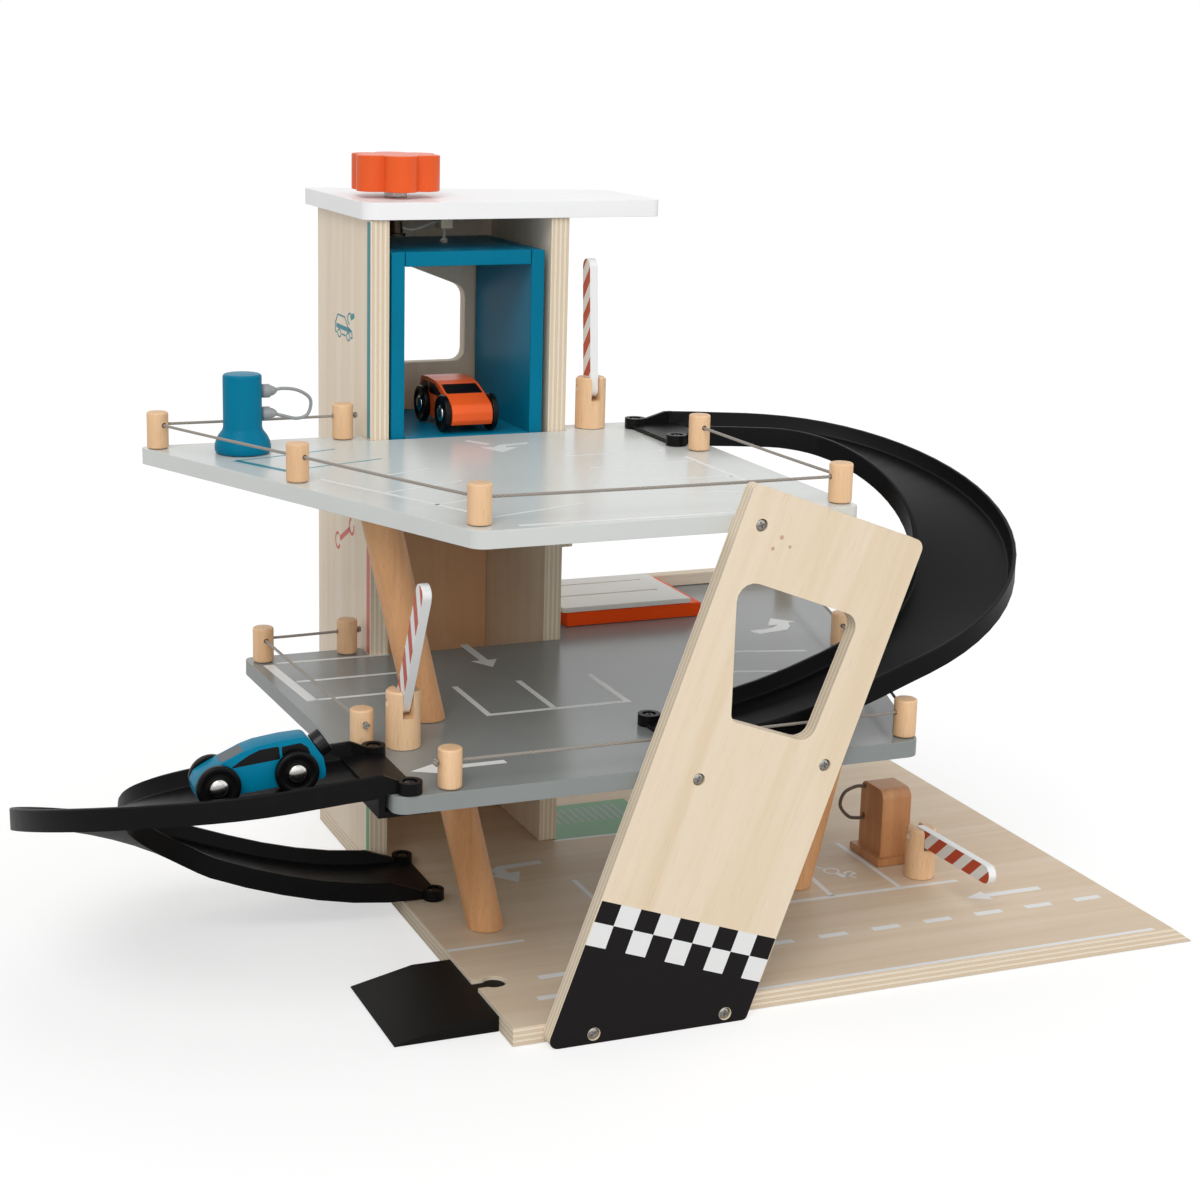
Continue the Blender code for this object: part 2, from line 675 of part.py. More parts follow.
def trackMesh(centreX, centreY, side, edgeX, earX, lowEarX, deck, lowDeck):
    """One moulded track. side is 1 when it leaves the deck to the right, and -1 to the left."""
    start = deck - 1.2
    fall = start - (lowDeck + GAP)
    edgeA = -side * (centreX - edgeX)
    straight = -edgeA - 1.2
    lowStraight = side * (centreX - lowEarX)
    bend = math.pi * TRACK_R

    def world(a, b, z):
        return (centreX + side * a, centreY + side * b, z)

    def along(s):
        if s < 0:
            return s, TRACK_R
        if s < bend:
            return TRACK_R * math.sin(s / TRACK_R), TRACK_R * math.cos(s / TRACK_R)
        return -(s - bend), -TRACK_R

    stops = [-straight, -straight * 0.6, -straight * 0.25]
    stops += [bend * k / 30 for k in range(31)]
    tail = lowStraight - 6.0
    stops += [bend + tail * k / 6 for k in range(1, 7)]
    path = bpy.data.curves.new("path", "CURVE")
    path.dimensions = "3D"
    path.twist_mode = "Z_UP"
    path.use_fill_caps = True
    half = TRACK_HALF
    section = bpy.data.curves.new("section", "CURVE")
    section.dimensions = "2D"
    section.fill_mode = "NONE"
    lip = TRACK_H
    shape = [
        (-half, 0.0),
        (half, 0.0),
        (half, lip - 0.6),
        (half - 0.6, lip),
        (half - 2.0, lip),
        (half - 2.5, lip - 0.6),
        (half - 3.4, TRACK_FLOOR + 1.2),
        (half - 4.8, TRACK_FLOOR),
        (-half + 4.8, TRACK_FLOOR),
        (-half + 3.4, TRACK_FLOOR + 1.2),
        (-half + 2.5, lip - 0.6),
        (-half + 2.0, lip),
        (-half + 0.6, lip),
        (-half, lip - 0.6),
    ]
    line = section.splines.new("POLY")
    line.points.add(len(shape) - 1)
    for point, (u, v) in zip(line.points, shape):
        point.co = (u / 1000, v / 1000, 0.0, 1.0)
    line.use_cyclic_u = True
    sectionObject = holder(section)
    path.bevel_mode = "OBJECT"
    path.bevel_object = sectionObject
    spline = path.splines.new("POLY")
    spline.points.add(len(stops) - 1)
    for point, s in zip(spline.points, stops):
        a, b = along(s)
        point.co = (*at(*world(a, b, channelBottom(s, start, fall))), 1.0)
    channel = bakedMesh(holder(path))
    bpy.data.objects.remove(sectionObject, do_unlink=True)

    def block(a0, a1, b0, b1, z0, z1):
        p = world(a0, b0, z0)
        q = world(a1, b1, z1)
        return boxMesh(min(p[0], q[0]), max(p[0], q[0]), min(p[1], q[1]), max(p[1], q[1]), z0, z1)

    def wallStub(a0, a1, b0, b1, low, z0, z1):
        """A wall end that falls from z1 over the deck to z0 at the screw boss."""
        run = a1 - a0
        outline = [(a0, low), (a1, low), (a1, z1), (a1 - run * 0.2, z1), (a0 + run * 0.25, z0), (a0, z0)]
        drawn = [(centreX + side * a, z) for a, z in outline]
        ys = sorted((centreY + side * b0, centreY + side * b1))
        return plateMesh([drawn], ys[0], ys[1], "XZ")

    pieces = []
    earA = side * (earX - centreX)
    deckLow = deck + GAP
    tongue = half - 2.0
    pieces.append(block(earA - 3.5, -straight + 6, TRACK_R - tongue, TRACK_R + tongue, deckLow, deck + 2.6))
    stubHigh = start + TRACK_H - 0.4
    for b0 in (TRACK_R + half - 2.6, TRACK_R - half + 0.1):
        pieces.append(wallStub(earA, -straight + 3, b0, b0 + 2.5, deckLow, deckLow + EAR_H - 0.4, stubHigh))
    for b in (TRACK_R + EAR_OUT, TRACK_R - EAR_OUT):
        pieces.append(rodMesh(world(earA, b, deckLow), world(earA, b, deckLow + EAR_H), EAR_R, 20))
    hookLow = deck - BOARD - 3.4
    hook = [
        (edgeA + GAP, deck + 1.4),
        (edgeA + GAP, deck - BOARD - GAP),
        (edgeA - 20, deck - BOARD - GAP),
        (edgeA - 21, deck - BOARD - GAP - 0.8),
        (edgeA - 21, hookLow),
        (edgeA + 3.6, hookLow),
        (edgeA + 3.6, deck + 1.4),
    ]
    hookY = sorted((centreY + side * (TRACK_R - 26), centreY + side * (TRACK_R + 26)))
    pieces.append(plateMesh([[(centreX + side * a, z) for a, z in hook]], hookY[0], hookY[1], "XZ"))
    lowA = side * (lowEarX - centreX)
    footLow = lowDeck + GAP
    footSole = footLow + 0.05
    pieces.append(block(lowA - 3.5, lowA + 12, -TRACK_R - tongue, -TRACK_R + tongue, footSole, footLow + 2.5))
    for b in (-TRACK_R + EAR_OUT, -TRACK_R - EAR_OUT):
        pieces.append(rodMesh(world(lowA, b, footSole), world(lowA, b, footLow + EAR_H), EAR_R, 20))
    slopeLow = footLow + EAR_H - 0.8
    slopeHigh = footLow + TRACK_H + 4
    taper = [
        (lowA - 8, slopeLow),
        (lowA + 7, slopeLow),
        (lowA + 24, footLow + TRACK_H + 0.6),
        (lowA + 24, slopeHigh),
        (lowA - 8, slopeHigh),
    ]
    drawn = [(centreX + side * a, z) for a, z in taper]
    ys = sorted((centreY - side * (TRACK_R + 40), centreY - side * (TRACK_R - 40)))
    channel = combined(channel, [plateMesh([drawn], ys[0], ys[1], "XZ")])
    whole = combined(channel, pieces, "UNION")
    sockets = []
    for a, b, z in (
        (earA, TRACK_R + EAR_OUT, deckLow),
        (earA, TRACK_R - EAR_OUT, deckLow),
        (lowA, -TRACK_R + EAR_OUT, footLow),
        (lowA, -TRACK_R - EAR_OUT, footLow),
    ):
        sockets.append(rodMesh(world(a, b, z + EAR_H - 2.6), world(a, b, z + EAR_H + 3), 3.7, 16))
    return combined(whole, sockets), start, fall


RIGHT_EARS = (163.5, 100.7)
LEFT_EARS = (-53.4, 17.5)
rightTrack = trackMesh(RIGHT_X, RIGHT_Y, 1, UP_RIGHT, *RIGHT_EARS, UP_TOP, MID_TOP)[0]
addObject("right_track", rightTrack, "plastic_black")
leftTrack, leftStart, leftFall = trackMesh(LEFT_X, LEFT_Y, -1, MID_TRACK_EDGE, *LEFT_EARS, MID_TOP, BASE_T)
addObject("left_track", leftTrack, "plastic_black")


# Barriers: a slotted post, and an arm whose pin turns in it. lift is the arm's angle above level at rest.
def barrier(name, x, y, deckTop, pivotHeight, lift):
    low = deckTop + GAP
    pivot = low + pivotHeight
    profile = [
        (0.0, BAR_POST_H),
        (BAR_POST_R - 1.2, BAR_POST_H),
        (BAR_POST_R, BAR_POST_H - 1.2),
        (BAR_POST_R, 0.0),
        (0.0, 0.0),
    ]
    slotHalf = ARM_T / 2 + 0.4
    cuts = [
        boxMesh(x - slotHalf, x + slotHalf, y - 12, y + 12, pivot - 7.0, low + 40),
        rodMesh((x - 12, y, pivot), (x + 12, y, pivot), PIN_R + 0.1, 16),
    ]
    post = combined(turnedMesh(profile, (x, y, low), 28), cuts)
    addObject(name + "_post", post, "beech")
    back = 5.4
    outline = rounded(
        [(-back, -ARM_W / 2), (ARM_L, -ARM_W / 2), (ARM_L, ARM_W / 2), (-back, ARM_W / 2)],
        [4.6, 5.2, 5.2, 4.6],
        3,
    )
    c = math.cos(math.radians(lift))
    s = math.sin(math.radians(lift))
    drawn = [(y - (u * c - v * s), pivot + u * s + v * c) for u, v in outline]
    arm = softened(plateMesh([drawn], x - ARM_T / 2, x + ARM_T / 2, "YZ"), 0.5, 2, 60)
    pinHalf = BAR_POST_R - 0.9
    pin = rodMesh((x - pinHalf, y, pivot), (x + pinHalf, y, pivot), PIN_R, 16)
    addObject(name + "_arm", combined(arm, [pin], "UNION"), "paint_white", at(x, y, pivot))


barrier("barrier_upper", 139.0, 247.0, UP_TOP, 23.5, 94.0)
barrier("barrier_middle", -34.0, 74.5, MID_TOP, 23.5, 64.0)
barrier("barrier_base", 303.0, 116.0, BASE_T, 25.0, 1.5)

# Charging post: turned wood with a flared foot, and a cable looped between its two sockets.
CHARGER = (-78.5, 223.5)
CHARGER_R = 10.7
charge = UP_TOP + GAP
chargerProfile = [
    (0.0, 43.5),
    (9.3, 43.5),
    (CHARGER_R, 42.2),
    (CHARGER_R, 14.4),
    (11.2, 12.6),
    (12.7, 10.6),
    (14.2, 8.2),
    (15.2, 5.2),
    (15.5, 3.0),
    (15.3, 1.2),
    (14.6, 0.0),
    (0.0, 0.0),
]
plugTop = charge + 33.5
plugLow = charge + 21.0
faceX = CHARGER[0] + CHARGER_R - 1.2
chargerBores = [
    rodMesh((faceX - 3, CHARGER[1], z), (faceX + 6, CHARGER[1], z), 2.4, 14) for z in (plugTop, plugLow)
]
chargerBody = combined(turnedMesh(chargerProfile, (*CHARGER, charge), 28), chargerBores)
addObject("charger_post", chargerBody, "paint_blue", None, False)
plugStart = CHARGER[0] + CHARGER_R + GAP
loopMiddle = (plugTop + plugLow) / 2
cableRoute = smoothRoute(
    [
        (plugStart + 6, CHARGER[1], plugTop),
        (plugStart + 12, CHARGER[1], plugTop + 1.0),
        (plugStart + 23, CHARGER[1], plugTop - 0.5),
        (plugStart + 28.5, CHARGER[1], loopMiddle),
        (plugStart + 23, CHARGER[1], plugLow + 0.5),
        (plugStart + 12, CHARGER[1], plugLow - 1.0),
        (plugStart + 6, CHARGER[1], plugLow),
    ]
)
cable = tubeMesh(cableRoute, 0.95)
plugs = []
for z in (plugTop, plugLow):
    plugs.append(rodMesh((faceX - 2.5, CHARGER[1], z), (plugStart + 1, CHARGER[1], z), 2.0, 12))
    plugs.append(rodMesh((plugStart, CHARGER[1], z), (plugStart + 4.5, CHARGER[1], z), 3.8, 14))
    plugs.append(rodMesh((plugStart + 4.4, CHARGER[1], z), (plugStart + 8, CHARGER[1], z), 3.4, 14, 1.5))
addObject("charger_cable", combined(cable, plugs, "UNION"), "cord_grey")

# Fuel pump: a block with a rounded top on a foot, in one piece, and a hose glued into its side.
PUMP_X0 = 289.0
PUMP_X1 = 308.5
PUMP_Y0 = 138.0
PUMP_Y1 = 164.0
pumpLow = BASE_T + GAP
pumpHigh = pumpLow + 46
foot = boxMesh(PUMP_X0 - 3.5, PUMP_X1 + 3.5, PUMP_Y0 - 4.0, PUMP_Y1 + 4.0, pumpLow, pumpLow + 4.6)
blockEdge = rounded(
    [(PUMP_Y0, pumpLow + 1.6), (PUMP_Y1, pumpLow + 1.6), (PUMP_Y1, pumpHigh), (PUMP_Y0, pumpHigh)],
    [0, 0, 6, 6],
)
block = plateMesh([blockEdge], PUMP_X0, PUMP_X1, "YZ")
HOSE_Y = PUMP_Y1 - 4.2
hoseTop = pumpLow + 42.6
hoseFoot = pumpLow + 24
hoseHoles = []
for z in (hoseTop, hoseFoot):
    hoseHoles.append(rodMesh((PUMP_X0 - 2, HOSE_Y, z), (PUMP_X0 + 4, HOSE_Y, z), 1.7, 12))
pump = combined(softened(combined(foot, [block], "UNION"), 0.7, 2, 60), hoseHoles)
addObject("fuel_pump", pump, "beech")
hoseRoute = smoothRoute(
    [
        (PUMP_X0 + 3, HOSE_Y, hoseTop),
        (PUMP_X0 - 1, HOSE_Y, hoseTop),
        (PUMP_X0 - 6, HOSE_Y, hoseTop),
        (PUMP_X0 - 13.0, HOSE_Y, hoseTop - 3.6),
        (PUMP_X0 - 14.6, HOSE_Y, hoseTop - 10.6),
        (PUMP_X0 - 9, HOSE_Y, hoseFoot + 1.5),
        (PUMP_X0 - 4, HOSE_Y, hoseFoot + 0.1),
        (PUMP_X0 - 1, HOSE_Y, hoseFoot),
        (PUMP_X0 + 3, HOSE_Y, hoseFoot),
    ],
    3,
)
addObject("pump_hose", tubeMesh(hoseRoute, 1.05), "cord_brown")

# Service platform on the lower deck behind the tower: an orange frame, and a loose plate with two grooves.
SERVICE = (134.0, 225.0, 263.0, 332.0)
serviceLow = MID_TOP + GAP
frameOuter = [
    (SERVICE[0], SERVICE[2]),
    (SERVICE[1], SERVICE[2]),
    (SERVICE[1], SERVICE[3]),
    (SERVICE[0], SERVICE[3]),
]
rim = 9.0
frameInner = [
    (SERVICE[0] + rim, SERVICE[2] + rim),
    (SERVICE[1] - rim, SERVICE[2] + rim),
    (SERVICE[1] - rim, SERVICE[3] - rim),
    (SERVICE[0] + rim, SERVICE[3] - rim),
]
addObject("service_frame", plateMesh([frameOuter, frameInner], serviceLow, serviceLow + 8.6), "paint_orange")
plateLow = serviceLow + 8.6 + GAP
servicePlate = boxMesh(131.0, 217.5, SERVICE[2] - 0.5, SERVICE[3] - 1.0, plateLow, plateLow + 3.2)
grooves = [boxMesh(139.0, 207.0, gy - 1.1, gy + 1.1, plateLow + 1.9, plateLow + 6) for gy in (289.5, 316.0)]
tongue = boxMesh(
    SERVICE[0] + rim + 0.5,
    SERVICE[1] - rim - 0.5,
    SERVICE[2] + rim + 0.5,
    SERVICE[3] - rim - 0.5,
    plateLow - 3.0,
    plateLow + 1,
)
plate = combined(combined(servicePlate, [tongue], "UNION"), grooves)
plateOrigin = at(174.0, 297.0, plateLow)
addObject("service_plate", plate, "paint_white", plateOrigin)


# Cars. In a car's own frame x runs forward from the rear axle, z is up from the ground and y is across.
BODY_SIDE = [
    (-13.0, 4.6),
    (47.2, 4.8),
    (48.8, 7.6),
    (49.1, 12.6),
    (46.8, 16.6),
    (41.9, 18.8),
    (34.8, 21.6),
    (29.1, 23.5),
    (23.7, 25.4),
    (17.0, 26.8),
    (4.0, 27.3),
    (-7.6, 26.8),
    (-14.0, 15.2),
    (-14.6, 9.0),
    (-14.2, 6.2),
]
BODY_RADII = [1, 1, 2, 2, 2, 2, 2, 2, 2, 3, 3, 3, 3, 2, 1]


def wheelProfile(half):
    """Two tyres on one axle, from the end of the axle inwards. half is half the width of the body."""
    inner = half + TYRE_GAP
    outer = inner + TYRE_W
    side = [
        (0.0, outer + 0.3),
        (4.6, outer),
        (5.4, outer - 0.8),
        (7.6, outer - 0.9),
        (9.8, outer),
        (WHEEL_R, outer - 0.9),
        (WHEEL_R, inner + 0.5),
        (WHEEL_R - 0.6, inner),
        (AXLE_R, inner),
    ]
    return side + [(r, -h) for r, h in reversed(side)]


def car(name, slot, rear, heading, pitch, half, magnet):
    """rear is the ground point under the middle of the rear axle, and heading the nose's compass angle."""
    turn = Matrix.Rotation(math.radians(heading), 4, "Z") @ Matrix.Rotation(-math.radians(pitch), 4, "Y")
    move = Matrix.Translation(at(*rear)) @ turn
    back = Matrix.Translation(Vector((ORIGIN_X / 1000, ORIGIN_Y / 1000, 0)))
    side = plateMesh([rounded(BODY_SIDE, BODY_RADII, 2)], -half, half, "XZ")
    bores = []
    for x in (0.0, WHEELBASE):
        bores.append(rodMesh((x, -half - 4, WHEEL_R), (x, half + 4, WHEEL_R), AXLE_BORE, 16))
    body = combined(softened(side, 0.9, 2, 60), bores)
    body.transform(back)
    body.transform(move)
    addObject(name + "_body", body, slot, at(*rear))
    for label, x in (("rear", 0.0), ("front", WHEELBASE)):
        wheels = turnedMesh(wheelProfile(half), (x, 0.0, WHEEL_R), 22, (0, 1, 0))
        wheels.transform(back)
        wheels.transform(move)
        centre = move @ Vector((x / 1000, 0.0, WHEEL_R / 1000))
        addObject(name + "_" + label + "_wheels", wheels, "plastic_black", centre, True)
    if magnet:
        along = Vector((-11.6, 0.0, 6.4)).normalized()
        foot = Vector((-11.8, 0.0, 19.2)) + along * GAP
        tip = foot + along * MAGNET_L
        barrel = softened(rodMesh(tuple(foot), tuple(tip), MAGNET_R, 20), 0.6, 2, 60)
        barrel.transform(back)
        barrel.transform(move)
        addObject(name + "_magnet", barrel, "plastic_black")


def leftFloor(x):
    """Height of the left track's floor at x on its first, straight or barely bent, stretch."""
    s = LEFT_X - x
    if s > 0:
        s = TRACK_R * math.asin(s / TRACK_R)
    return channelBottom(s, leftStart, leftFall) + TRACK_FLOOR


BLUE_REAR_X = -103.3
BLUE_Y = LEFT_Y - TRACK_R - 3.8
BLUE_YAW = 1.1
BLUE_HALF = 6.5
ORANGE_HALF = 12.3
NOSE = 49.1
rearFloor = leftFloor(BLUE_REAR_X)
frontFloor = leftFloor(BLUE_REAR_X - WHEELBASE)
bluePitch = math.degrees(math.atan2(frontFloor - rearFloor, WHEELBASE))
blueRear = (BLUE_REAR_X, BLUE_Y, rearFloor + 0.6)
car("blue_car", "paint_blue", blueRear, 180.0 - BLUE_YAW, bluePitch, BLUE_HALF, True)
orangeRear = (62.5, CABIN_Y0 + 0.6 + NOSE, CABIN_FLOOR_TOP + GAP)
car("orange_car", "paint_orange", orangeRear, -90.0, 0.0, ORANGE_HALF, False)
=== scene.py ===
import json
import math

import bmesh
import bpy
from mathutils import Matrix, Vector

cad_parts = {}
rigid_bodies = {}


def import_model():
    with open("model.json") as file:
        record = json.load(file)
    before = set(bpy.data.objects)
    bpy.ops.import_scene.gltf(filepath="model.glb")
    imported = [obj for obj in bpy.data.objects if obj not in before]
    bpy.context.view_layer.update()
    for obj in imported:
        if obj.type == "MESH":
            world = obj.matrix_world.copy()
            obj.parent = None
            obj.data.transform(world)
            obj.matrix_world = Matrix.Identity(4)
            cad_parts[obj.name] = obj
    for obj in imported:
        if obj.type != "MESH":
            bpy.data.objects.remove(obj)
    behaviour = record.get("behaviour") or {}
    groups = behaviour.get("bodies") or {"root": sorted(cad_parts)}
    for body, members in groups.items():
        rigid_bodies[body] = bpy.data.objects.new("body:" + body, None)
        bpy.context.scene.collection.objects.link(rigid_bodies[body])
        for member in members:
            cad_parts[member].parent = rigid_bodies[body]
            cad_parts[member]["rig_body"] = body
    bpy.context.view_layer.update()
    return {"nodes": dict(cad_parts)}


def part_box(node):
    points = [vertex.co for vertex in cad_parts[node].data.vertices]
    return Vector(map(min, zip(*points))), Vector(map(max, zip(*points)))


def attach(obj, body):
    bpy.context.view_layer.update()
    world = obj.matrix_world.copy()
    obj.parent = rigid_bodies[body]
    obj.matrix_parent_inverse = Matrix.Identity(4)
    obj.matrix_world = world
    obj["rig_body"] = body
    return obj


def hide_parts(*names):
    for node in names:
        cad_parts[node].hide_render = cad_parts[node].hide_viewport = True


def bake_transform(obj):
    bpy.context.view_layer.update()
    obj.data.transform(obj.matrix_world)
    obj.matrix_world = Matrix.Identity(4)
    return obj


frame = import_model()
nodes = frame["nodes"]
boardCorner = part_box("base_board")[0]    # all places below are millimetres from this corner


def place(x, y, z=0.0):
    return boardCorner + Vector((x, y, z)) / 1000


def middleOf(node):
    low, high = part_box(node)
    return (low + high) / 2


def heightOf(node):    # top of a node, in millimetres
    return (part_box(node)[1].z - boardCorner.z) * 1000


baseTop = heightOf("base_board")
middleTop = heightOf("middle_deck")
upperTop = heightOf("upper_deck")
print("frame loaded:", len(nodes), "nodes")


# Small tools

def deselectAll():
    if bpy.context.mode != "OBJECT":
        bpy.ops.object.mode_set(mode="OBJECT")
    bpy.ops.object.select_all(action="DESELECT")


def onlySelect(piece):
    deselectAll()
    piece.select_set(True)
    bpy.context.view_layer.objects.active = piece


def applyModifiers(piece):
    onlySelect(piece)
    for modifier in list(piece.modifiers):
        bpy.ops.object.modifier_apply(modifier=modifier.name)


def cutAway(piece, tool):
    cut = piece.modifiers.new("cut", "BOOLEAN")
    cut.object = tool
    cut.solver = "EXACT"
    applyModifiers(piece)
    bpy.data.objects.remove(tool, do_unlink=True)


def settle(piece):    # the object goes to the origin and its place into its mesh
    onlySelect(piece)
    if piece.type != "MESH":
        bpy.ops.object.convert(target="MESH")
        piece = bpy.context.view_layer.objects.active
    piece.data.transform(piece.matrix_world)
    piece.matrix_world = Matrix.Identity(4)
    return piece


def finishPiece(piece, name, body, material, smoothAngle):
    piece = settle(piece)
    piece.name = name
    piece.data.name = name
    piece.data.materials.clear()
    piece.data.materials.append(material)
    if smoothAngle:
        onlySelect(piece)
        bpy.ops.object.shade_smooth_by_angle(angle=math.radians(smoothAngle))
    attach(piece, body)
    return piece


def joinPieces(pieces):
    deselectAll()
    for piece in pieces:
        piece.select_set(True)
    bpy.context.view_layer.objects.active = pieces[0]
    bpy.ops.object.join()
    return bpy.context.view_layer.objects.active


def recalculate(piece):
    onlySelect(piece)
    bpy.ops.object.mode_set(mode="EDIT")
    bpy.ops.mesh.select_all(action="SELECT")
    bpy.ops.mesh.remove_doubles(threshold=0.000001)
    bpy.ops.mesh.normals_make_consistent(inside=False)
    bpy.ops.object.mode_set(mode="OBJECT")


def closeRing(drop):    # closes the selected ring with a face, or draws it to a point that far off
    if abs(drop) < 0.001:
        bpy.ops.mesh.edge_face_add()
    else:
        bpy.ops.mesh.extrude_region_move(TRANSFORM_OT_translate={"value": (0, 0, drop / 1000)})
        bpy.ops.mesh.merge(type="CENTER")


def turned(profile, matrix, sides):    # profile is (radius, height) in millimetres, from end to end of Z
    rings = profile[1:-1]
    radius, height = rings[0]
    deselectAll()
    bpy.ops.mesh.primitive_circle_add(vertices=sides, radius=radius / 1000, fill_type="NOTHING")
    piece = bpy.context.object
    bpy.ops.object.mode_set(mode="EDIT")
    bpy.ops.mesh.select_all(action="SELECT")
    bpy.ops.transform.translate(value=(0, 0, height / 1000))
    for nextRadius, nextHeight in rings[1:]:
        bpy.ops.mesh.extrude_region_move(TRANSFORM_OT_translate={"value": (0, 0, (nextHeight - height) / 1000)})
        factor = nextRadius / radius
        bpy.ops.transform.resize(value=(factor, factor, 1), center_override=(0, 0, 0))
        radius, height = nextRadius, nextHeight
    closeRing(profile[-1][1] - height)
    bpy.ops.mesh.select_all(action="DESELECT")
    bpy.ops.mesh.select_non_manifold()
    closeRing(profile[0][1] - rings[0][1])
    bpy.ops.mesh.select_all(action="SELECT")
    bpy.ops.mesh.normals_make_consistent(inside=False)
    bpy.ops.object.mode_set(mode="OBJECT")
    piece.matrix_world = matrix
    return settle(piece)


def arcPoints(centreR, centreH, radius, start, end, count):    # a rounded corner for a turned profile
    out = []
    for k in range(count + 1):
        angle = math.radians(start + (end - start) * k / count)
        out.append((centreR + radius * math.cos(angle), centreH + radius * math.sin(angle)))
    return out


def slab(loops, low, high, matrix):    # flat outlines in millimetres, filled and given thickness
    curve = bpy.data.curves.new("slab", "CURVE")
    curve.dimensions = "2D"
    curve.fill_mode = "BOTH"
    curve.extrude = (high - low) / 2000
    for loop in loops:
        spline = curve.splines.new("POLY")
        spline.points.add(len(loop) - 1)
        for point, (u, v) in zip(spline.points, loop):
            point.co = (u / 1000, v / 1000, 0, 1)
        spline.use_cyclic_u = True
    piece = bpy.data.objects.new("slab", curve)
    bpy.context.scene.collection.objects.link(piece)
    piece.matrix_world = matrix @ Matrix.Translation((0, 0, (low + high) / 2000))
    bpy.context.view_layer.update()
    piece = settle(piece)
    recalculate(piece)
    return piece


flatOn = Matrix.Translation(boardCorner)                                     # u is X, v is Y
facingFront = flatOn @ Matrix.Rotation(math.radians(90), 4, "X")             # u is X, v is Z, out is -Y
facingLeft = flatOn @ Matrix(((0, 0, -1, 0), (-1, 0, 0, 0), (0, 1, 0, 0), (0, 0, 0, 1)))    # u is -Y, v is Z


def rounded(points, radius, steps=6):
    out = []
    count = len(points)
    radii = radius if isinstance(radius, (list, tuple)) else [radius] * count
    for i, point in enumerate(points):
        corner = Vector(point)
        before = (Vector(points[i - 1]) - corner).normalized()
        after = (Vector(points[(i + 1) % count]) - corner).normalized()
        if radii[i] <= 0:
            out.append(tuple(corner))
            continue
        half = before.angle(after) / 2
        centre = corner + (before + after).normalized() * (radii[i] / math.sin(half))
        start = corner + before * (radii[i] / math.tan(half)) - centre
        side = 1 if (before.x * after.y - before.y * after.x) < 0 else -1
        for k in range(steps + 1):
            turn = side * (math.pi - 2 * half) * k / steps
            cosine, sine = math.cos(turn), math.sin(turn)
            out.append((centre.x + start.x * cosine - start.y * sine, centre.y + start.x * sine + start.y * cosine))
    return out


def stroke(points, width):    # a line of one width along the points
    left, right = [], []
    for i, point in enumerate(points):
        here = Vector(point)
        back = (here - Vector(points[i - 1])).normalized() if i else None
        ahead = (Vector(points[i + 1]) - here).normalized() if i < len(points) - 1 else None
        way = (back or ahead) if not (back and ahead) else (back + ahead).normalized()
        reach = width / 2
        if back and ahead:
            reach /= max(0.4, way.dot(ahead))
        side = Vector((-way.y, way.x)) * reach
        left.append(tuple(here + side))
        right.append(tuple(here - side))
    return left + right[::-1]


def arrow(x, y, heading, length, width, headLength, headWidth):    # x, y is the tip
    outline = [
        (0, 0),
        (-headLength, headWidth / 2),
        (-headLength, width / 2),
        (-length, width / 2),
        (-length, -width / 2),
        (-headLength, -width / 2),
        (-headLength, -headWidth / 2),
    ]
    c, s = math.cos(math.radians(heading)), math.sin(math.radians(heading))
    return [(x + u * c - v * s, y + u * s + v * c) for u, v in outline]


def arc(x, y, radius, start, end, count=14):
    angles = [math.radians(start + (end - start) * k / count) for k in range(count + 1)]
    return [(x + radius * math.cos(angle), y + radius * math.sin(angle)) for angle in angles]


def circle(x, y, radius):    # of 24 points
    return arc(x, y, radius, 0, 345, 23)


def ring(x, y, radius, width):
    return [circle(x, y, radius), circle(x, y, radius - width)]


printed = {"thickness": 0.03, "lift": 0.01}


def printOn(name, loopGroups, matrix, surface, material):
    # ink on a surface: surface is its height along the matrix's own Z, in millimetres
    low = surface + printed["lift"]
    films = [slab(loops, low, low + printed["thickness"], matrix) for loops in loopGroups]
    return finishPiece(joinPieces(films), name, "garage", material, 0)


# Materials

canvas = {}    # the nodes and the shader of the material that is being made


def blankMaterial(name, roughness, metallic=0.0):
    material = bpy.data.materials.new(name)
    material.use_nodes = True
    canvas["tree"] = material.node_tree
    canvas["shader"] = material.node_tree.nodes["Principled BSDF"].inputs
    feed(canvas["shader"], "Roughness", roughness)
    feed(canvas["shader"], "Metallic", metallic)
    return material


def feed(inputs, key, value):    # with a link from another node, or a plain value
    if isinstance(value, bpy.types.NodeSocket):
        canvas["tree"].links.new(value, inputs[key])
    else:
        inputs[key].default_value = value


def addNode(kind, values=None, **settings):
    made = canvas["tree"].nodes.new(kind)
    for key, value in settings.items():
        setattr(made, key, value)
    for key, value in (values or {}).items():
        feed(made.inputs, key, value)
    return made


def calc(operation, *values):
    return addNode("ShaderNodeMath", dict(enumerate(values)), operation=operation).outputs[0]


def mixed(factor, first, second, blend="MIX"):
    made = addNode("ShaderNodeMix", data_type="RGBA", blend_type=blend)
    feed(made.inputs, 0, factor)
    for index, colour in ((6, first), (7, second)):
        feed(made.inputs, index, (*colour, 1) if isinstance(colour, tuple) else colour)
    return made.outputs[2]


def ramped(factor, low, high):    # 0 below low, 1 above high
    values = {"Value": factor, "From Min": low, "From Max": high}
    return addNode("ShaderNodeMapRange", values, interpolation_type="SMOOTHSTEP").outputs["Result"]


def noiseOf(vector, scale, detail=3.0, roughness=0.55, distortion=0.0):
    values = {"Vector": vector, "Scale": scale, "Detail": detail, "Roughness": roughness, "Distortion": distortion}
    return addNode("ShaderNodeTexNoise", values).outputs["Fac"]


def coordsOf(kind="Object"):
    return addNode("ShaderNodeTexCoord").outputs[kind]


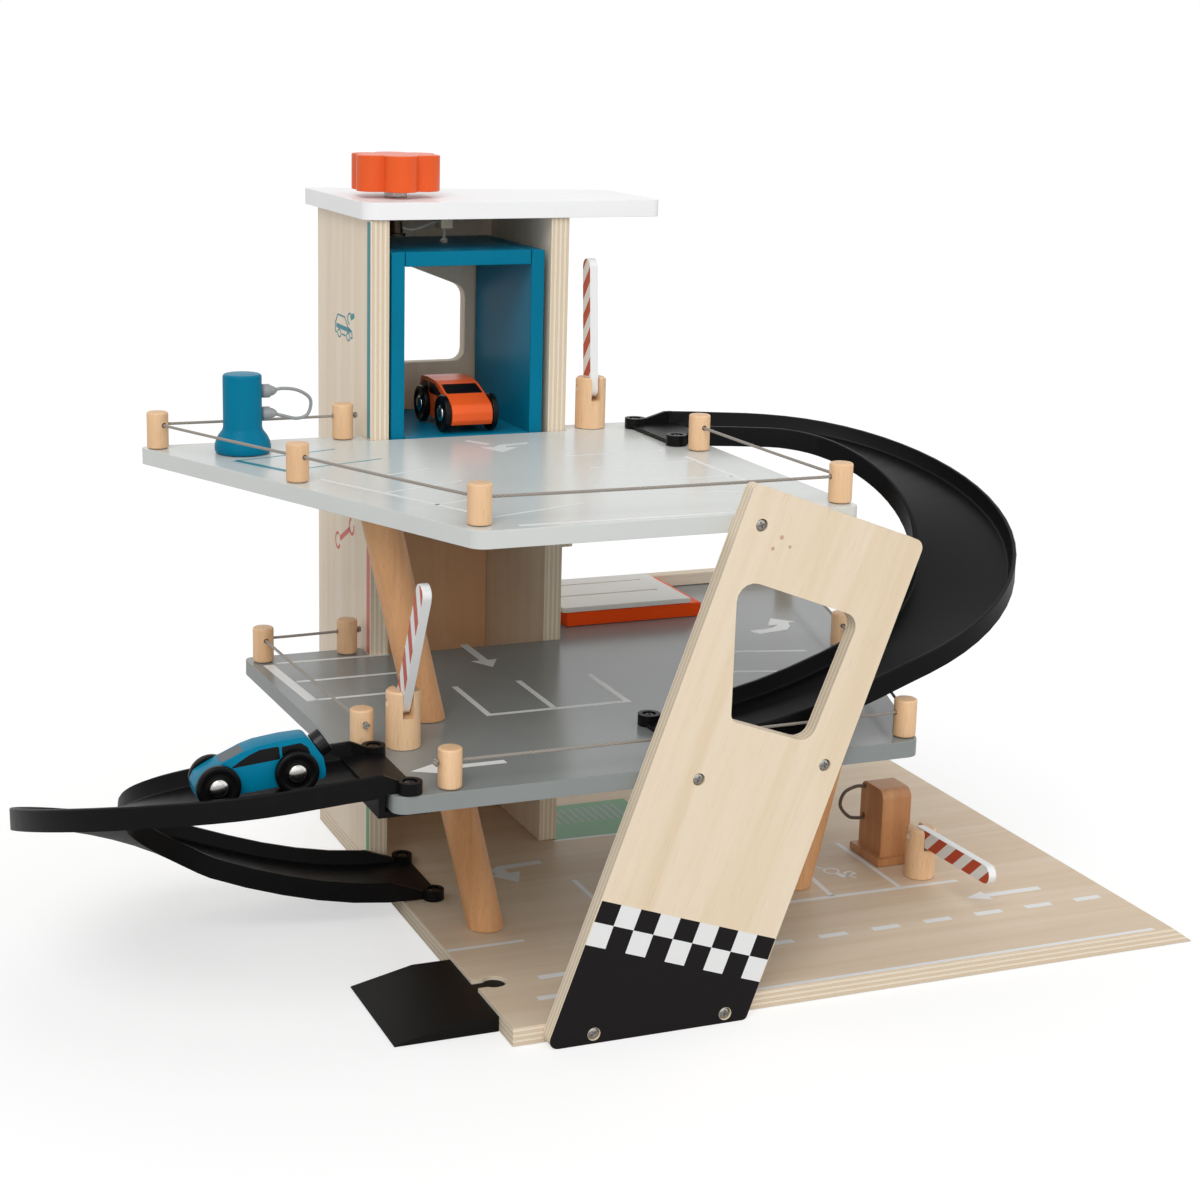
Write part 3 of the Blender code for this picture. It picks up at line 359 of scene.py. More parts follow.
def mapped(vector, location=(0, 0, 0), rotation=(0, 0, 0), scale=(1, 1, 1)):
    values = {"Vector": vector, "Location": location, "Rotation": rotation, "Scale": scale}
    return addNode("ShaderNodeMapping", values).outputs[0]


def splitOf(vector):
    return addNode("ShaderNodeSeparateXYZ", {0: vector}).outputs


def useColour(colour):
    feed(canvas["shader"], "Base Color", colour)


def useRoughness(value):
    feed(canvas["shader"], "Roughness", value)


def useBump(height, distance, strength):
    bump = addNode("ShaderNodeBump", {"Height": height, "Distance": distance, "Strength": strength})
    feed(canvas["shader"], "Normal", bump.outputs[0])


def useGloss(gloss):
    feed(canvas["shader"], "Specular IOR Level", gloss)


def times(value, factor):
    return calc("MULTIPLY", value, factor)


def plus(first, second):
    return calc("ADD", first, second)


def shown(value, low, high, share):    # a ramp that reaches the given share
    return times(ramped(value, low, high), share)


def scaled(colour, factor, lift=0.0):
    return tuple(min(1, c * factor + lift) for c in colour)


grainStretch = {"X": (0.05, 1, 1), "Y": (1, 0.05, 1), "Z": (1, 1, 0.05)}
axisIndex = {"X": 0, "Y": 1, "Z": 2}
woodNoise = {    # scale, detail, roughness and distortion of each part of the grain
    "figure": (70, 2.5, 0.5, 0.6),
    "pores": (1400, 3, 0.65),
    "rays": (420, 2, 0.5),
    "flecks": (2600, 1, 0.5),
    "fibre": (900, 2, 0.6),
    "rings": (1500, 2, 0.6),
    "wobble": (60, 1),
}


def grainOf(vector, grain, part):    # one part of the grain, 0 to 1, drawn out along the wood
    return noiseOf(mapped(vector, scale=grainStretch[grain]), *woodNoise[part])


boardLook = {    # a range ends with the share of the tone that it brings
    "figure": (0.3, 0.72), "pores": (0.52, 0.8, 0.28), "rays": (0.55, 0.85, 0.16),
    "poreTone": 0.62, "rayColour": (0.92, 0.84, 0.72),
    "knotShare": 0.7, "knotCore": 0.35, "knotColour": (0.46, 0.20, 0.09),
    # the brown tone and its fade are partly darker wood, partly painted shade and bounce light low on the board
    "brownAndShade": (0.98, 0.70, 0.50), "brownAndShadeReach": 0.06,
    "plyDepth": 0.00143, "wobble": 0.22, "darkPly": (0.42, 0.58), "glueLine": (0.02, 0.09),
    "glueShare": 0.5, "fibreShare": 0.35, "fibreTone": 0.75,
    "edgeNormal": 0.6,    # a face counts as an edge when its normal is this far off the board's own
    "roughness": 0.42, "relief": 0.00006,
}


def plywood(name, across, grain, light, dark, edgeFrom, turn=0.0, knots=(), brownAndShadeBelow=None):
    # across is the axis through the board, edgeFrom its lowest place there, in metres
    look = boardLook
    material = blankMaterial(name, 0.5)
    coords = coordsOf()
    vector = mapped(coords, rotation=(0, turn, 0)) if turn else coords
    figure, pores, rays = (grainOf(vector, grain, part) for part in ("figure", "pores", "rays"))
    tone = mixed(ramped(figure, *look["figure"]), light, dark)
    tone = mixed(shown(pores, *look["pores"]), tone, scaled(dark, look["poreTone"]))
    tone = mixed(shown(rays, *look["rays"]), tone, look["rayColour"])
    for x, y, z, size in knots:
        away = addNode("ShaderNodeVectorMath", {0: coords, 1: (x, y, z)}, operation="DISTANCE")
        near = calc("SUBTRACT", 1.0, ramped(away.outputs["Value"], size * look["knotCore"], size))
        tone = mixed(times(near, look["knotShare"]), tone, look["knotColour"])
    if brownAndShadeBelow is not None:    # the board's wood grows darker and browner downwards: partly darker wood, partly painted shade and painted bounce light under the upper deck
        height = splitOf(coords)[2]
        above = ramped(height, brownAndShadeBelow, brownAndShadeBelow + look["brownAndShadeReach"])
        tone = mixed(calc("SUBTRACT", 1.0, above), tone, look["brownAndShade"], "MULTIPLY")
    along = splitOf(coords)[axisIndex[across]]
    layer = calc("DIVIDE", calc("SUBTRACT", along, edgeFrom), look["plyDepth"])
    wave = calc("SUBTRACT", noiseOf(coords, *woodNoise["wobble"]), 0.5)
    parity = calc("PINGPONG", plus(layer, times(wave, look["wobble"])), 1.0)
    offGlue = calc("ABSOLUTE", calc("SUBTRACT", parity, 0.5))
    glue = calc("SUBTRACT", 1.0, ramped(offGlue, *look["glueLine"]))
    fibre = times(noiseOf(coords, *woodNoise["fibre"]), look["fibreShare"])
    edge = mixed(ramped(parity, *look["darkPly"]), plyColours["pale"], plyColours["deep"])
    edge = mixed(fibre, edge, scaled(plyColours["deep"], look["fibreTone"]))
    edge = mixed(times(glue, look["glueShare"]), edge, plyColours["glue"])
    facing = calc("ABSOLUTE", splitOf(coordsOf("Normal"))[axisIndex[across]])
    useColour(mixed(calc("LESS_THAN", facing, look["edgeNormal"]), tone, edge))
    useRoughness(plus(look["roughness"], times(pores, 0.2)))
    useBump(pores, look["relief"], 0.5)
    return material


solidLook = {
    "figure": (0.3, 0.7), "flecks": (0.58, 0.72, 0.35), "rays": (0.5, 0.8, 0.2), "fleckTone": 0.55, "rayTone": 1.25,
    "endGrain": (0.75, 0.95), "rings": (0.35, 0.7), "ringLight": 0.92, "ringDark": 0.8,
    "shine": 0.42, "relief": 0.00005,
}


def solidWood(name, light, dark):    # grain along Z, and rings where the wood is cut across
    look = solidLook
    material = blankMaterial(name, look["shine"])
    coords = coordsOf()
    parts = ("figure", "pores", "rays", "flecks")
    figure, pores, rays, flecks = (grainOf(coords, "Z", part) for part in parts)
    tone = mixed(ramped(figure, *look["figure"]), light, dark)
    tone = mixed(shown(flecks, *look["flecks"]), tone, scaled(dark, look["fleckTone"]))
    tone = mixed(shown(rays, *look["rays"]), tone, scaled(light, look["rayTone"]))
    facing = calc("ABSOLUTE", splitOf(coordsOf("Normal"))[2])
    rings = noiseOf(mapped(coords, scale=(1, 1, 0.2)), *woodNoise["rings"])
    lightEnd, darkEnd = scaled(light, look["ringLight"]), scaled(dark, look["ringDark"])
    endTone = mixed(ramped(rings, *look["rings"]), lightEnd, darkEnd)
    useColour(mixed(ramped(facing, *look["endGrain"]), tone, endTone))
    useRoughness(plus(look["shine"] - 0.06, times(pores, 0.2)))
    useBump(pores, look["relief"], 0.4)
    return material


paintLook = {
    "cloud": (18, 2, 0.5), "cloudRange": (0.3, 0.7), "poreRange": (0.5, 0.85), "poreTone": 0.86,
    "specks": (3800, 1, 0.4), "speckRange": (0.72, 0.8, 0.12), "speckTone": 1.5, "speckLift": 0.05,
    "peel": (520, 2, 0.5), "peelHeight": 0.6, "poreHeight": 0.5, "bump": 0.45,
}


def painted(name, colour, grain, shine, variation, wear, gloss=0.3, relief=0.00005):
    look = paintLook
    material = blankMaterial(name, shine)
    useGloss(gloss)
    coords = coordsOf()
    pores = grainOf(coords, grain, "pores")
    cloud = ramped(noiseOf(coords, *look["cloud"]), *look["cloudRange"])
    tone = mixed(cloud, colour, scaled(colour, 1 - variation))
    tone = mixed(shown(pores, *look["poreRange"], wear), tone, scaled(colour, look["poreTone"]))
    specks = shown(noiseOf(coords, *look["specks"]), *look["speckRange"])
    useColour(mixed(specks, tone, scaled(colour, look["speckTone"], look["speckLift"])))
    peel = noiseOf(coords, *look["peel"])
    height = plus(times(peel, look["peelHeight"]), times(pores, look["poreHeight"]))
    useRoughness(plus(shine - 0.05, times(peel, 0.1)))
    useBump(height, relief, look["bump"])
    return material


plasticLook = {
    "leather": 1100.0, "fine": (2400, 2, 0.6), "scuffs": (130, 6, 0.75), "scuffRange": (0.56, 0.78),
    "scuffShare": 0.5, "scuffTone": 2.2, "scuffLift": 0.002, "fineShare": 0.3, "fineTone": 0.6, "relief": 0.00004,
}


def mouldedPlastic(name, colour, shine, gloss=0.5):
    look = plasticLook
    material = blankMaterial(name, shine)
    useGloss(gloss)
    coords = coordsOf()
    voronoi = addNode("ShaderNodeTexVoronoi", {"Vector": coords, "Scale": look["leather"]})
    fine = noiseOf(coords, *look["fine"])
    flattened = mapped(coords, scale=(1, 1, 0.25))
    scuffs = ramped(noiseOf(flattened, *look["scuffs"]), *look["scuffRange"])
    worn = scaled(colour, look["scuffTone"], look["scuffLift"])
    tone = mixed(times(scuffs, look["scuffShare"]), colour, worn)
    tone = mixed(times(fine, look["fineShare"]), tone, scaled(colour, look["fineTone"]))
    useColour(tone)
    useRoughness(plus(shine - 0.06, times(scuffs, 0.16)))
    useBump(plus(voronoi.outputs["Distance"], times(fine, 0.5)), look["relief"], 0.5)
    return material


cordLook = {"strands": 4, "weave": (0.15, 0.75), "fuzz": (5000, 2, 0.6), "relief": 0.0001, "sheen": 0.25}


def braided(name, light, dark):    # reads the piece's own UV map: u round the cord, v along it in turns
    look = cordLook
    material = blankMaterial(name, 0.85)
    uv = splitOf(coordsOf("UV"))
    turns = times(uv[0], look["strands"])
    first = calc("PINGPONG", plus(turns, uv[1]), 0.5)
    second = calc("PINGPONG", calc("SUBTRACT", turns, uv[1]), 0.5)
    weave = times(calc("MINIMUM", first, second), 2.0)
    fuzz = noiseOf(coordsOf(), *look["fuzz"])
    tone = mixed(ramped(weave, *look["weave"]), dark, light)
    useColour(mixed(times(fuzz, 0.3), tone, scaled(dark, 0.7)))
    useBump(plus(weave, times(fuzz, 0.4)), look["relief"], 0.6)
    feed(canvas["shader"], "Sheen Weight", look["sheen"])
    return material


# dark is the painted shade that the spool takes under the roof
metalLook = {
    "streaks": (900, 3, 0.6), "range": (0.3, 0.8), "tone": 0.86, "dark": (0.12, 0.09, 0.07), "relief": 0.00001,
}


def metal(name, colour, shine, shadeBelow=None):
    look = metalLook
    material = blankMaterial(name, shine, 1.0)
    coords = coordsOf()
    streaks = noiseOf(coords, *look["streaks"])
    tone = mixed(ramped(streaks, *look["range"]), colour, scaled(colour, look["tone"]))
    if shadeBelow is not None:    # painted shade: the spool under the roof is darkened, its collar above bare metal
        lower = calc("LESS_THAN", splitOf(coords)[2], shadeBelow)
        tone = mixed(lower, tone, look["dark"], "MULTIPLY")
    useColour(tone)
    useRoughness(plus(shine - 0.05, times(streaks, 0.12)))
    useBump(streaks, look["relief"], 0.4)
    return material


inkLook = {"mottle": (1500, 3, 0.6), "range": (0.5, 0.8, 0.25), "tone": 0.82, "slow": (90, 2, 0.5), "slowTone": 0.85}


def ink(name, colour, shine=0.4, gloss=0.3):
    look = inkLook
    material = blankMaterial(name, shine)
    useGloss(gloss)
    coords = coordsOf()
    mottle = noiseOf(coords, *look["mottle"])
    slow = times(noiseOf(coords, *look["slow"]), 0.15)
    tone = mixed(shown(mottle, *look["range"]), colour, scaled(colour, look["tone"]))
    useColour(mixed(slow, tone, scaled(colour, look["slowTone"])))
    useBump(mottle, 0.00001, 0.3)
    return material


stripes = {
    "redShare": 0.5, "white": (0.86, 0.87, 0.86), "red": (0.56, 0.062, 0.016), "from": 0.007, "sideNormal": 0.85,
    "peel": (700, 2, 0.5), "pores": (2200, 2, 0.6), "relief": 0.00004,
}


def stripedArm(name, pivot, arm):    # red stripes on both wide sides, in the arm's own frame
    material = blankMaterial(name, 0.35)
    coords = coordsOf()
    centred = mapped(coords, location=tuple(-value for value in pivot))
    unturned = splitOf(mapped(centred, rotation=(math.radians(arm["lift"]), 0, 0)))
    out = times(unturned[1], -1.0)
    shifted = plus(out, times(unturned[2], arm["slant"]))
    pitch = arm["pitch"]
    whole = 60 * pitch - arm["first"] + stripes["redShare"] * pitch / 2    # keeps the value above zero for FRACT
    count = calc("DIVIDE", plus(shifted, whole / 1000), pitch / 1000)
    red = calc("LESS_THAN", calc("FRACT", count), stripes["redShare"])
    past = calc("GREATER_THAN", out, stripes["from"])
    facing = calc("ABSOLUTE", splitOf(coordsOf("Normal"))[0])
    side = calc("GREATER_THAN", facing, stripes["sideNormal"])
    pores = noiseOf(coords, *stripes["pores"])
    white = mixed(times(pores, 0.3), stripes["white"], scaled(stripes["white"], 0.86))
    redTone = mixed(times(pores, 0.4), stripes["red"], scaled(stripes["red"], 0.7))
    useColour(mixed(times(times(red, past), side), white, redTone))
    useBump(noiseOf(coords, *stripes["peel"]), stripes["relief"], 0.4)
    return material


def linear(red, green, blue):    # a colour as seen on screen, 0 to 255, to the linear value that shaders take
    out = []
    for value in (red, green, blue):
        share = value / 255
        out.append(share / 12.92 if share <= 0.04045 else ((share + 0.055) / 1.055) ** 2.4)
    return tuple(out)


plyColours = {"pale": linear(240, 228, 208), "deep": linear(222, 202, 174), "glue": linear(176, 146, 114)}
birchLight = linear(238, 223, 203)
birchDark = linear(231, 212, 187)
# the base board's wood is darker and browner than the walls': partly its own tone, partly painted shade on its flat
# top
baseLightWithShade = linear(221, 202, 178)
baseDarkWithShade = linear(213, 190, 162)

knots = ((133.2, 254.6, 0.0016), (128.5, 249.3, 0.0014), (137.9, 249.5, 0.0012))    # on the front panel
finish = {
    "wallSide": plywood("birchWallSide", "X", "Z", birchLight, birchDark, boardCorner.x),
    "wallRight": plywood("birchWallRight", "X", "Z", birchLight, birchDark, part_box("tower_right_wall")[0].x),
    # the back wall darkens and browns below the upper deck: partly its own wood, partly painted shade and bounce light
    "wallBack": plywood(
        "birchWallBackBrownAndShaded", "Y", "Z", birchLight, birchDark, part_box("tower_back_wall")[0].y,
        brownAndShadeBelow=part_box("upper_deck")[0].z,
    ),
    "base": plywood("birchBaseWithShade", "Z", "X", baseLightWithShade, baseDarkWithShade, boardCorner.z),
    "kerb": plywood("birchKerb", "Y", "X", birchLight, birchDark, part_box("kerb_strip")[0].y),
    "batten": plywood("birchBatten", "X", "Z", birchLight, birchDark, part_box("deck_batten")[0].x),
    "panel": plywood(
        "birchPanel", "Y", "Z", linear(236, 219, 194), linear(228, 207, 176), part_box("front_panel")[0].y,
        math.radians(-20), [(*place(x, -9.3, z), size) for x, z, size in knots],
    ),
    "upperDeck": painted("paintLightGrey", linear(211, 214, 211), "X", 0.24, 0.03, 0.1, 0.4),
    "middleDeck": painted("paintMidGrey", linear(138, 143, 142), "X", 0.22, 0.05, 0.2, 0.4),
    "roof": painted("paintWhite", linear(245, 245, 246), "X", 0.3, 0.02, 0.06),
    "cabin": painted("paintTealCabin", linear(0, 117, 149), "Z", 0.34, 0.08, 0.3, 0.08),
    "blueCar": painted("paintTealCar", linear(0, 124, 158), "X", 0.32, 0.06, 0.2, 0.1),
    "charger": painted("paintTealPost", linear(0, 118, 151), "Z", 0.34, 0.08, 0.4, 0.08),
    "orange": painted("paintOrange", linear(238, 95, 38), "Z", 0.3, 0.12, 1.2, 0.24, 0.00012),
    "orangeFrame": painted("paintOrangeFrame", linear(250, 84, 24), "X", 0.34, 0.08, 0.4, 0.06),
    "ramp": painted("paintBlack", linear(20, 19, 18), "Y", 0.42, 0.1, 0.4, 0.12),
    "plate": painted("paintPale", linear(228, 226, 220), "X", 0.34, 0.04, 0.2),
    "beech": solidWood("beechTurned", linear(238, 199, 157), linear(224, 180, 136)),
    "spindle": metal("spindleSteelShadedBelow", (0.52, 0.48, 0.45), 0.32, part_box("roof_board")[0].z),
    "darkSteel": metal("earScrewSteel", (0.17, 0.165, 0.16), 0.28),
    "guide": solidWood("guideWood", linear(243, 228, 204), linear(232, 212, 184)),
    "paleCord": braided("paleCord", linear(236, 230, 220), linear(206, 198, 186)),
    "beechDowel": solidWood("beechDowel", linear(228, 174, 124), linear(205, 147, 96)),
    "beechPump": solidWood("beechPump", linear(205, 150, 102), linear(180, 120, 74)),
    "track": mouldedPlastic("trackPlastic", linear(15, 15, 16), 0.42, 0.12),
    "tyre": mouldedPlastic("wheelPlastic", linear(12, 12, 13), 0.34, 0.15),
    "cord": braided("greyCord", linear(176, 168, 158), linear(138, 130, 121)),
    "hose": braided("darkCord", linear(124, 106, 92), linear(88, 74, 64)),
    "plug": mouldedPlastic("greyRubber", linear(150, 152, 152), 0.5),
    "steel": metal("screwSteel", (0.40, 0.385, 0.36), 0.27),
    "hub": metal("hubSteel", (0.60, 0.58, 0.56), 0.2),
    "magnet": mouldedPlastic("magnetPlastic", linear(18, 18, 19), 0.3, 0.25),
    "whiteInk": ink("whiteInk", linear(232, 233, 232)),
    "blackInk": ink("blackInk", linear(24, 21, 22), 0.45, 0.15),
    "tealInk": ink("tealInk", linear(52, 138, 150)),
    "redInk": ink("redInk", linear(214, 108, 92)),
    "greenInk": ink("greenInk", linear(96, 158, 110)),
    "greyInk": ink("greyInk", linear(150, 158, 154)),
    "windowInk": ink("windowInk", linear(10, 10, 12), 0.3, 0.25),
    "screenInk": ink("screenInk", linear(98, 104, 108), 0.3, 0.1),
}
print("materials ready:", len(finish))


# CAD nodes: each gets its finish, and boards a small round along their edges

def dressNode(name, material, roundEdge=0.0):
    node = nodes[name]
    if not node.data.materials:
        node.data.materials.append(material)
    for k in range(len(node.material_slots)):
        node.material_slots[k].material = material
    node.data.polygons.foreach_set("use_smooth", [True] * len(node.data.polygons))
    weld = node.modifiers.new("weld", "WELD")
    weld.merge_threshold = 0.000004
    if roundEdge:
        bevel = node.modifiers.new("softEdge", "BEVEL")
        bevel.width = roundEdge / 1000
        bevel.segments = 2
        bevel.limit_method = "ANGLE"
        bevel.angle_limit = math.radians(50)
    split = node.modifiers.new("sharpEdges", "EDGE_SPLIT")
    split.split_angle = math.radians(46)
    weighted = node.modifiers.new("flatFaces", "WEIGHTED_NORMAL")
    weighted.weight = 100
    weighted.keep_sharp = True


dressing = {
    "base_board": ("base", 0.5),
    "entry_ramp": ("ramp", 0.4),
    "tower_left_wall": ("wallSide", 0.5),
    "tower_right_wall": ("wallRight", 0.5),
    "tower_back_wall": ("wallBack", 0.5),
    "roof_board": ("roof", 0),
    "winch_knob": ("orange", 0),
    "winch_spindle": ("spindle", 0),
    "cord_guide_block": ("guide", 0.3),
    "cabin_left_side": ("cabin", 0),
    "cabin_right_side": ("cabin", 0),
    "cabin_top": ("cabin", 0),
    "cabin_floor": ("cabin", 0),
    "upper_deck": ("upperDeck", 0),
    "middle_deck": ("middleDeck", 0),
    "deck_batten": ("batten", 0),
    "kerb_strip": ("kerb", 0.5),
    "pillar_lower_left": ("beechDowel", 0.5),
    "pillar_lower_right": ("beechDowel", 0.5),
    "pillar_upper_left": ("beechDowel", 0.5),
    "front_panel": ("panel", 0.5),
    "right_track": ("track", 0),
    "left_track": ("track", 0),
    "barrier_upper_post": ("beech", 0),
    "barrier_middle_post": ("beech", 0),
    "barrier_base_post": ("beech", 0),
    "fuel_pump": ("beechPump", 0),
    "service_frame": ("orangeFrame", 0.4),
    "service_plate": ("plate", 0.4),
}
for name, (key, edge) in dressing.items():
    dressNode(name, finish[key], edge)
print("CAD nodes dressed:", len(dressing))


# Barrier arms

arms = {    # lift at rest, height of the pin, and the stripes' slant, pitch and first middle from the pin
    "upper": {"lift": 94.0, "pin": 23.5, "slant": 1.05, "pitch": 17.6, "first": 8.6},
    "middle": {"lift": 64.0, "pin": 23.5, "slant": -1.15, "pitch": 18.5, "first": 3.6},
    "base": {"lift": 1.5, "pin": 25.0, "slant": -1.15, "pitch": 18.0, "first": 3.8},
}
for label, arm in arms.items():
    pivot = middleOf("barrier_" + label + "_post")
    pivot.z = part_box("barrier_" + label + "_post")[0].z + arm["pin"] / 1000
    dressNode("barrier_" + label + "_arm", stripedArm("stripes" + label.capitalize(), pivot, arm))


# Cords, swept as tubes with their own UV map

cordMesh = {"sides": 14, "knotSides": 10, "twist": 0.0028, "smooth": 60}    # twist is one turn of the weave


def sweep(name, points, radius, sides=cordMesh["sides"]):
    points = [Vector(point) for point in points]
    work = bmesh.new()
    layer = work.loops.layers.uv.new("UVMap")
    rings, travelled = [], [0.0]
    for a, b in zip(points, points[1:]):
        travelled.append(travelled[-1] + (b - a).length)
    way = (points[1] - points[0]).normalized()
    side = way.orthogonal().normalized()
    for i, point in enumerate(points):
        back = point - points[max(i - 1, 0)]
        ahead = points[min(i + 1, len(points) - 1)] - point
        newWay = (back.normalized() + ahead.normalized()).normalized()
        side = (side - newWay * side.dot(newWay)).normalized()
        other = newWay.cross(side)
        ring = []
        for k in range(sides):
            angle = 2 * math.pi * k / sides
            ring.append(work.verts.new(point + (side * math.cos(angle) + other * math.sin(angle)) * radius))
        rings.append(ring)
    for i in range(len(rings) - 1):
        for k in range(sides):
            following = (k + 1) % sides
            face = work.faces.new((rings[i][k], rings[i][following], rings[i + 1][following], rings[i + 1][k]))
            values = ((k, i), (k + 1, i), (k + 1, i + 1), (k, i + 1))
            for loop, (u, v) in zip(face.loops, values):
                loop[layer].uv = (u / sides, travelled[v] / cordMesh["twist"])
    work.faces.new(rings[0][::-1])
    work.faces.new(rings[-1])
    bmesh.ops.recalc_face_normals(work, faces=work.faces)
    mesh = bpy.data.meshes.new(name)
    work.to_mesh(mesh)
    work.free()
    piece = bpy.data.objects.new(name, mesh)
    bpy.context.scene.collection.objects.link(piece)
    return piece


def eased(points, steps=6):    # a smooth curve through the points
    points = [Vector(point) for point in points]
    out = []
    last = len(points) - 1
    for i in range(last):
        p0, p1, p2, p3 = points[max(i - 1, 0)], points[i], points[i + 1], points[min(i + 2, last)]
        for k in range(steps):
            t = k / steps
            square = (2 * p0 - 5 * p1 + 4 * p2 - p3) * t * t
            cube = (3 * p1 - p0 - 3 * p2 + p3) * t ** 3
            out.append(0.5 * (2 * p1 + (p2 - p0) * t + square + cube))
    out.append(points[-1])
    return out


knotShape = {"steps": 48, "reach": 1.15, "swing": 0.55, "height": 0.9, "thick": 0.72, "lobes": 1.5}


def knot(centre, way, radius):    # an overhand knot as a bulging coil of three lobes
    way = Vector(way).normalized()
    side = way.orthogonal().normalized()
    other = way.cross(side)
    path = []
    for k in range(knotShape["steps"] + 1):
        angle = 4 * math.pi * k / knotShape["steps"]
        wave = knotShape["lobes"] * angle
        reach = radius * (knotShape["reach"] + knotShape["swing"] * math.cos(wave))
        around = (side * math.cos(angle) + other * math.sin(angle)) * reach
        path.append(Vector(centre) + around + way * radius * knotShape["height"] * math.sin(wave))
    return sweep("knot", path, radius * knotShape["thick"], cordMesh["knotSides"])


def finishCord(piece, name, body, material):
    return finishPiece(piece, name, body, material, cordMesh["smooth"])


railing = {    # each cord's node, and the posts that it runs through
    "holeHeight": 13.2,
    "holeRadius": 1.45,
    "holeSides": 20,
    "postRadius": 6.0,
    "postSides": 48,
    "rim": 1.1,
    "cordRadius": 0.8,
    "step": 0.004,
    "sag": 0.002,
    "knotReach": 7.4,
    "routes": {
        "railCordUpper": ("upper_cord", "upper_post_", ("tower", "corner", "left", "front", "right", "track")),
        "railCordMiddleLeft": ("middle_cord_left", "middle_post_", ("wall", "corner", "left")),
        "railCordMiddleRight": ("middle_cord_right", "middle_post_", ("front", "right", "side", "back")),
    },
}


def threadHeight(node):
    spot = middleOf(node)
    spot.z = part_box(node)[0].z + railing["holeHeight"] / 1000
    return spot


def railPost(node, ways):
    low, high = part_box(node)
    radius = railing["postRadius"] / 1000
    deselectAll()
    bpy.ops.mesh.primitive_cylinder_add(
        vertices=railing["postSides"], radius=radius, depth=high.z - low.z, location=(low + high) / 2,
    )
    post = bpy.context.object
    rim = post.modifiers.new("rim", "BEVEL")
    rim.width = railing["rim"] / 1000
    rim.segments = 4
    rim.limit_method = "ANGLE"
    rim.angle_limit = math.radians(60)
    applyModifiers(post)
    spot = threadHeight(node)
    for way in ways:
        deselectAll()
        bpy.ops.mesh.primitive_cylinder_add(
            vertices=railing["holeSides"], radius=railing["holeRadius"] / 1000, depth=radius * 2,
            location=spot + way * radius,
        )
        drill = bpy.context.object
        drill.rotation_mode = "QUATERNION"
        drill.rotation_quaternion = way.to_track_quat("Z", "Y")
        bpy.context.view_layer.update()
        cutAway(post, drill)
    words = node.split("_")
    name = words[0] + "Post" + words[2].capitalize()
    finishPiece(post, name, "garage", finish["beech"], 40)
    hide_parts(node)


for name, (node, start, ends) in railing["routes"].items():
    route = [start + end for end in ends]
    spots = [threadHeight(post) for post in route]
    ways = {post: [] for post in route}
    for first, second, a, b in zip(route, route[1:], spots, spots[1:]):
        ways[first].append((b - a).normalized())
        ways[second].append((a - b).normalized())
    startWay, endWay = -ways[route[0]][0], -ways[route[-1]][0]
    ways[route[0]].append(startWay)
    ways[route[-1]].append(endWay)
    for post in route:
        railPost(post, ways[post])
    reach = railing["knotReach"] / 1000
    line = [spots[0] + startWay * reach] + spots + [spots[-1] + endWay * reach]
    dense = []
    for a, b in zip(line, line[1:]):
        span = (b - a).length
        count = max(2, int(span / railing["step"]))
        for k in range(count):
            t = k / count
            dense.append(a.lerp(b, t) - Vector((0, 0, railing["sag"] * span * 4 * t * (1 - t))))
    dense.append(line[-1])
    radius = railing["cordRadius"] / 1000
    piece = finishCord(sweep(name, dense, radius), name, "garage", finish["cord"])
    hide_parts(node)
    knots = joinPieces([knot(line[0], startWay, radius), knot(line[-1], endWay, radius)])
    knots = finishCord(knots, name + "Knots", "garage", finish["cord"])
print("railing ready")


# Lift cord: between the guide block and the cabin

liftCord = {
    "radius": 0.8, "spoolX": 28.2, "spoolY": 287.3, "slack": 0.004, "spans": 40, "knot": 0.001, "knotUp": 0.0012,
    "bend": [(-0.006, 0), (-0.002, 0), (-0.0004, -0.0006), (0, -0.003)],    # over the guide block, to X and Z
}
top = middleOf("lift_cord")
top.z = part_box("lift_cord")[1].z
bottom = Vector((top.x, top.y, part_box("lift_cord")[0].z))
line = [top.lerp(bottom, k / liftCord["spans"]) for k in range(liftCord["spans"] + 1)]
cordRadius = liftCord["radius"] / 1000
piece = settle(sweep("liftCord", line, cordRadius))
piece.data.materials.append(finish["paleCord"])
onlySelect(piece)
bpy.ops.object.shade_smooth_by_angle(angle=math.radians(cordMesh["smooth"]))
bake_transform(piece)
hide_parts("lift_cord")
low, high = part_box("winch_cord")
spoolSide = place(liftCord["spoolX"], liftCord["spoolY"])
spoolSide.z = high.z - cordRadius
guideSpot = Vector((top.x, top.y, spoolSide.z))
bend = [guideSpot + Vector((x, 0, z)) for x, z in liftCord["bend"]]
hang = spoolSide.lerp(bend[0], 0.45) - Vector((0, 0, liftCord["slack"]))
route = eased([spoolSide, hang] + bend + [Vector((top.x, top.y, low.z))])
piece = finishCord(sweep("winchCord", route, cordRadius), "winchCord", "garage", finish["paleCord"])
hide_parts("winch_cord")
liftKnot = knot(bottom + Vector((0, 0, liftCord["knotUp"])), (0, 0, 1), liftCord["knot"])
finishCord(liftKnot, "cabinKnot", "cabin", finish["paleCord"])


# Charging post with its cable and two rubber plugs

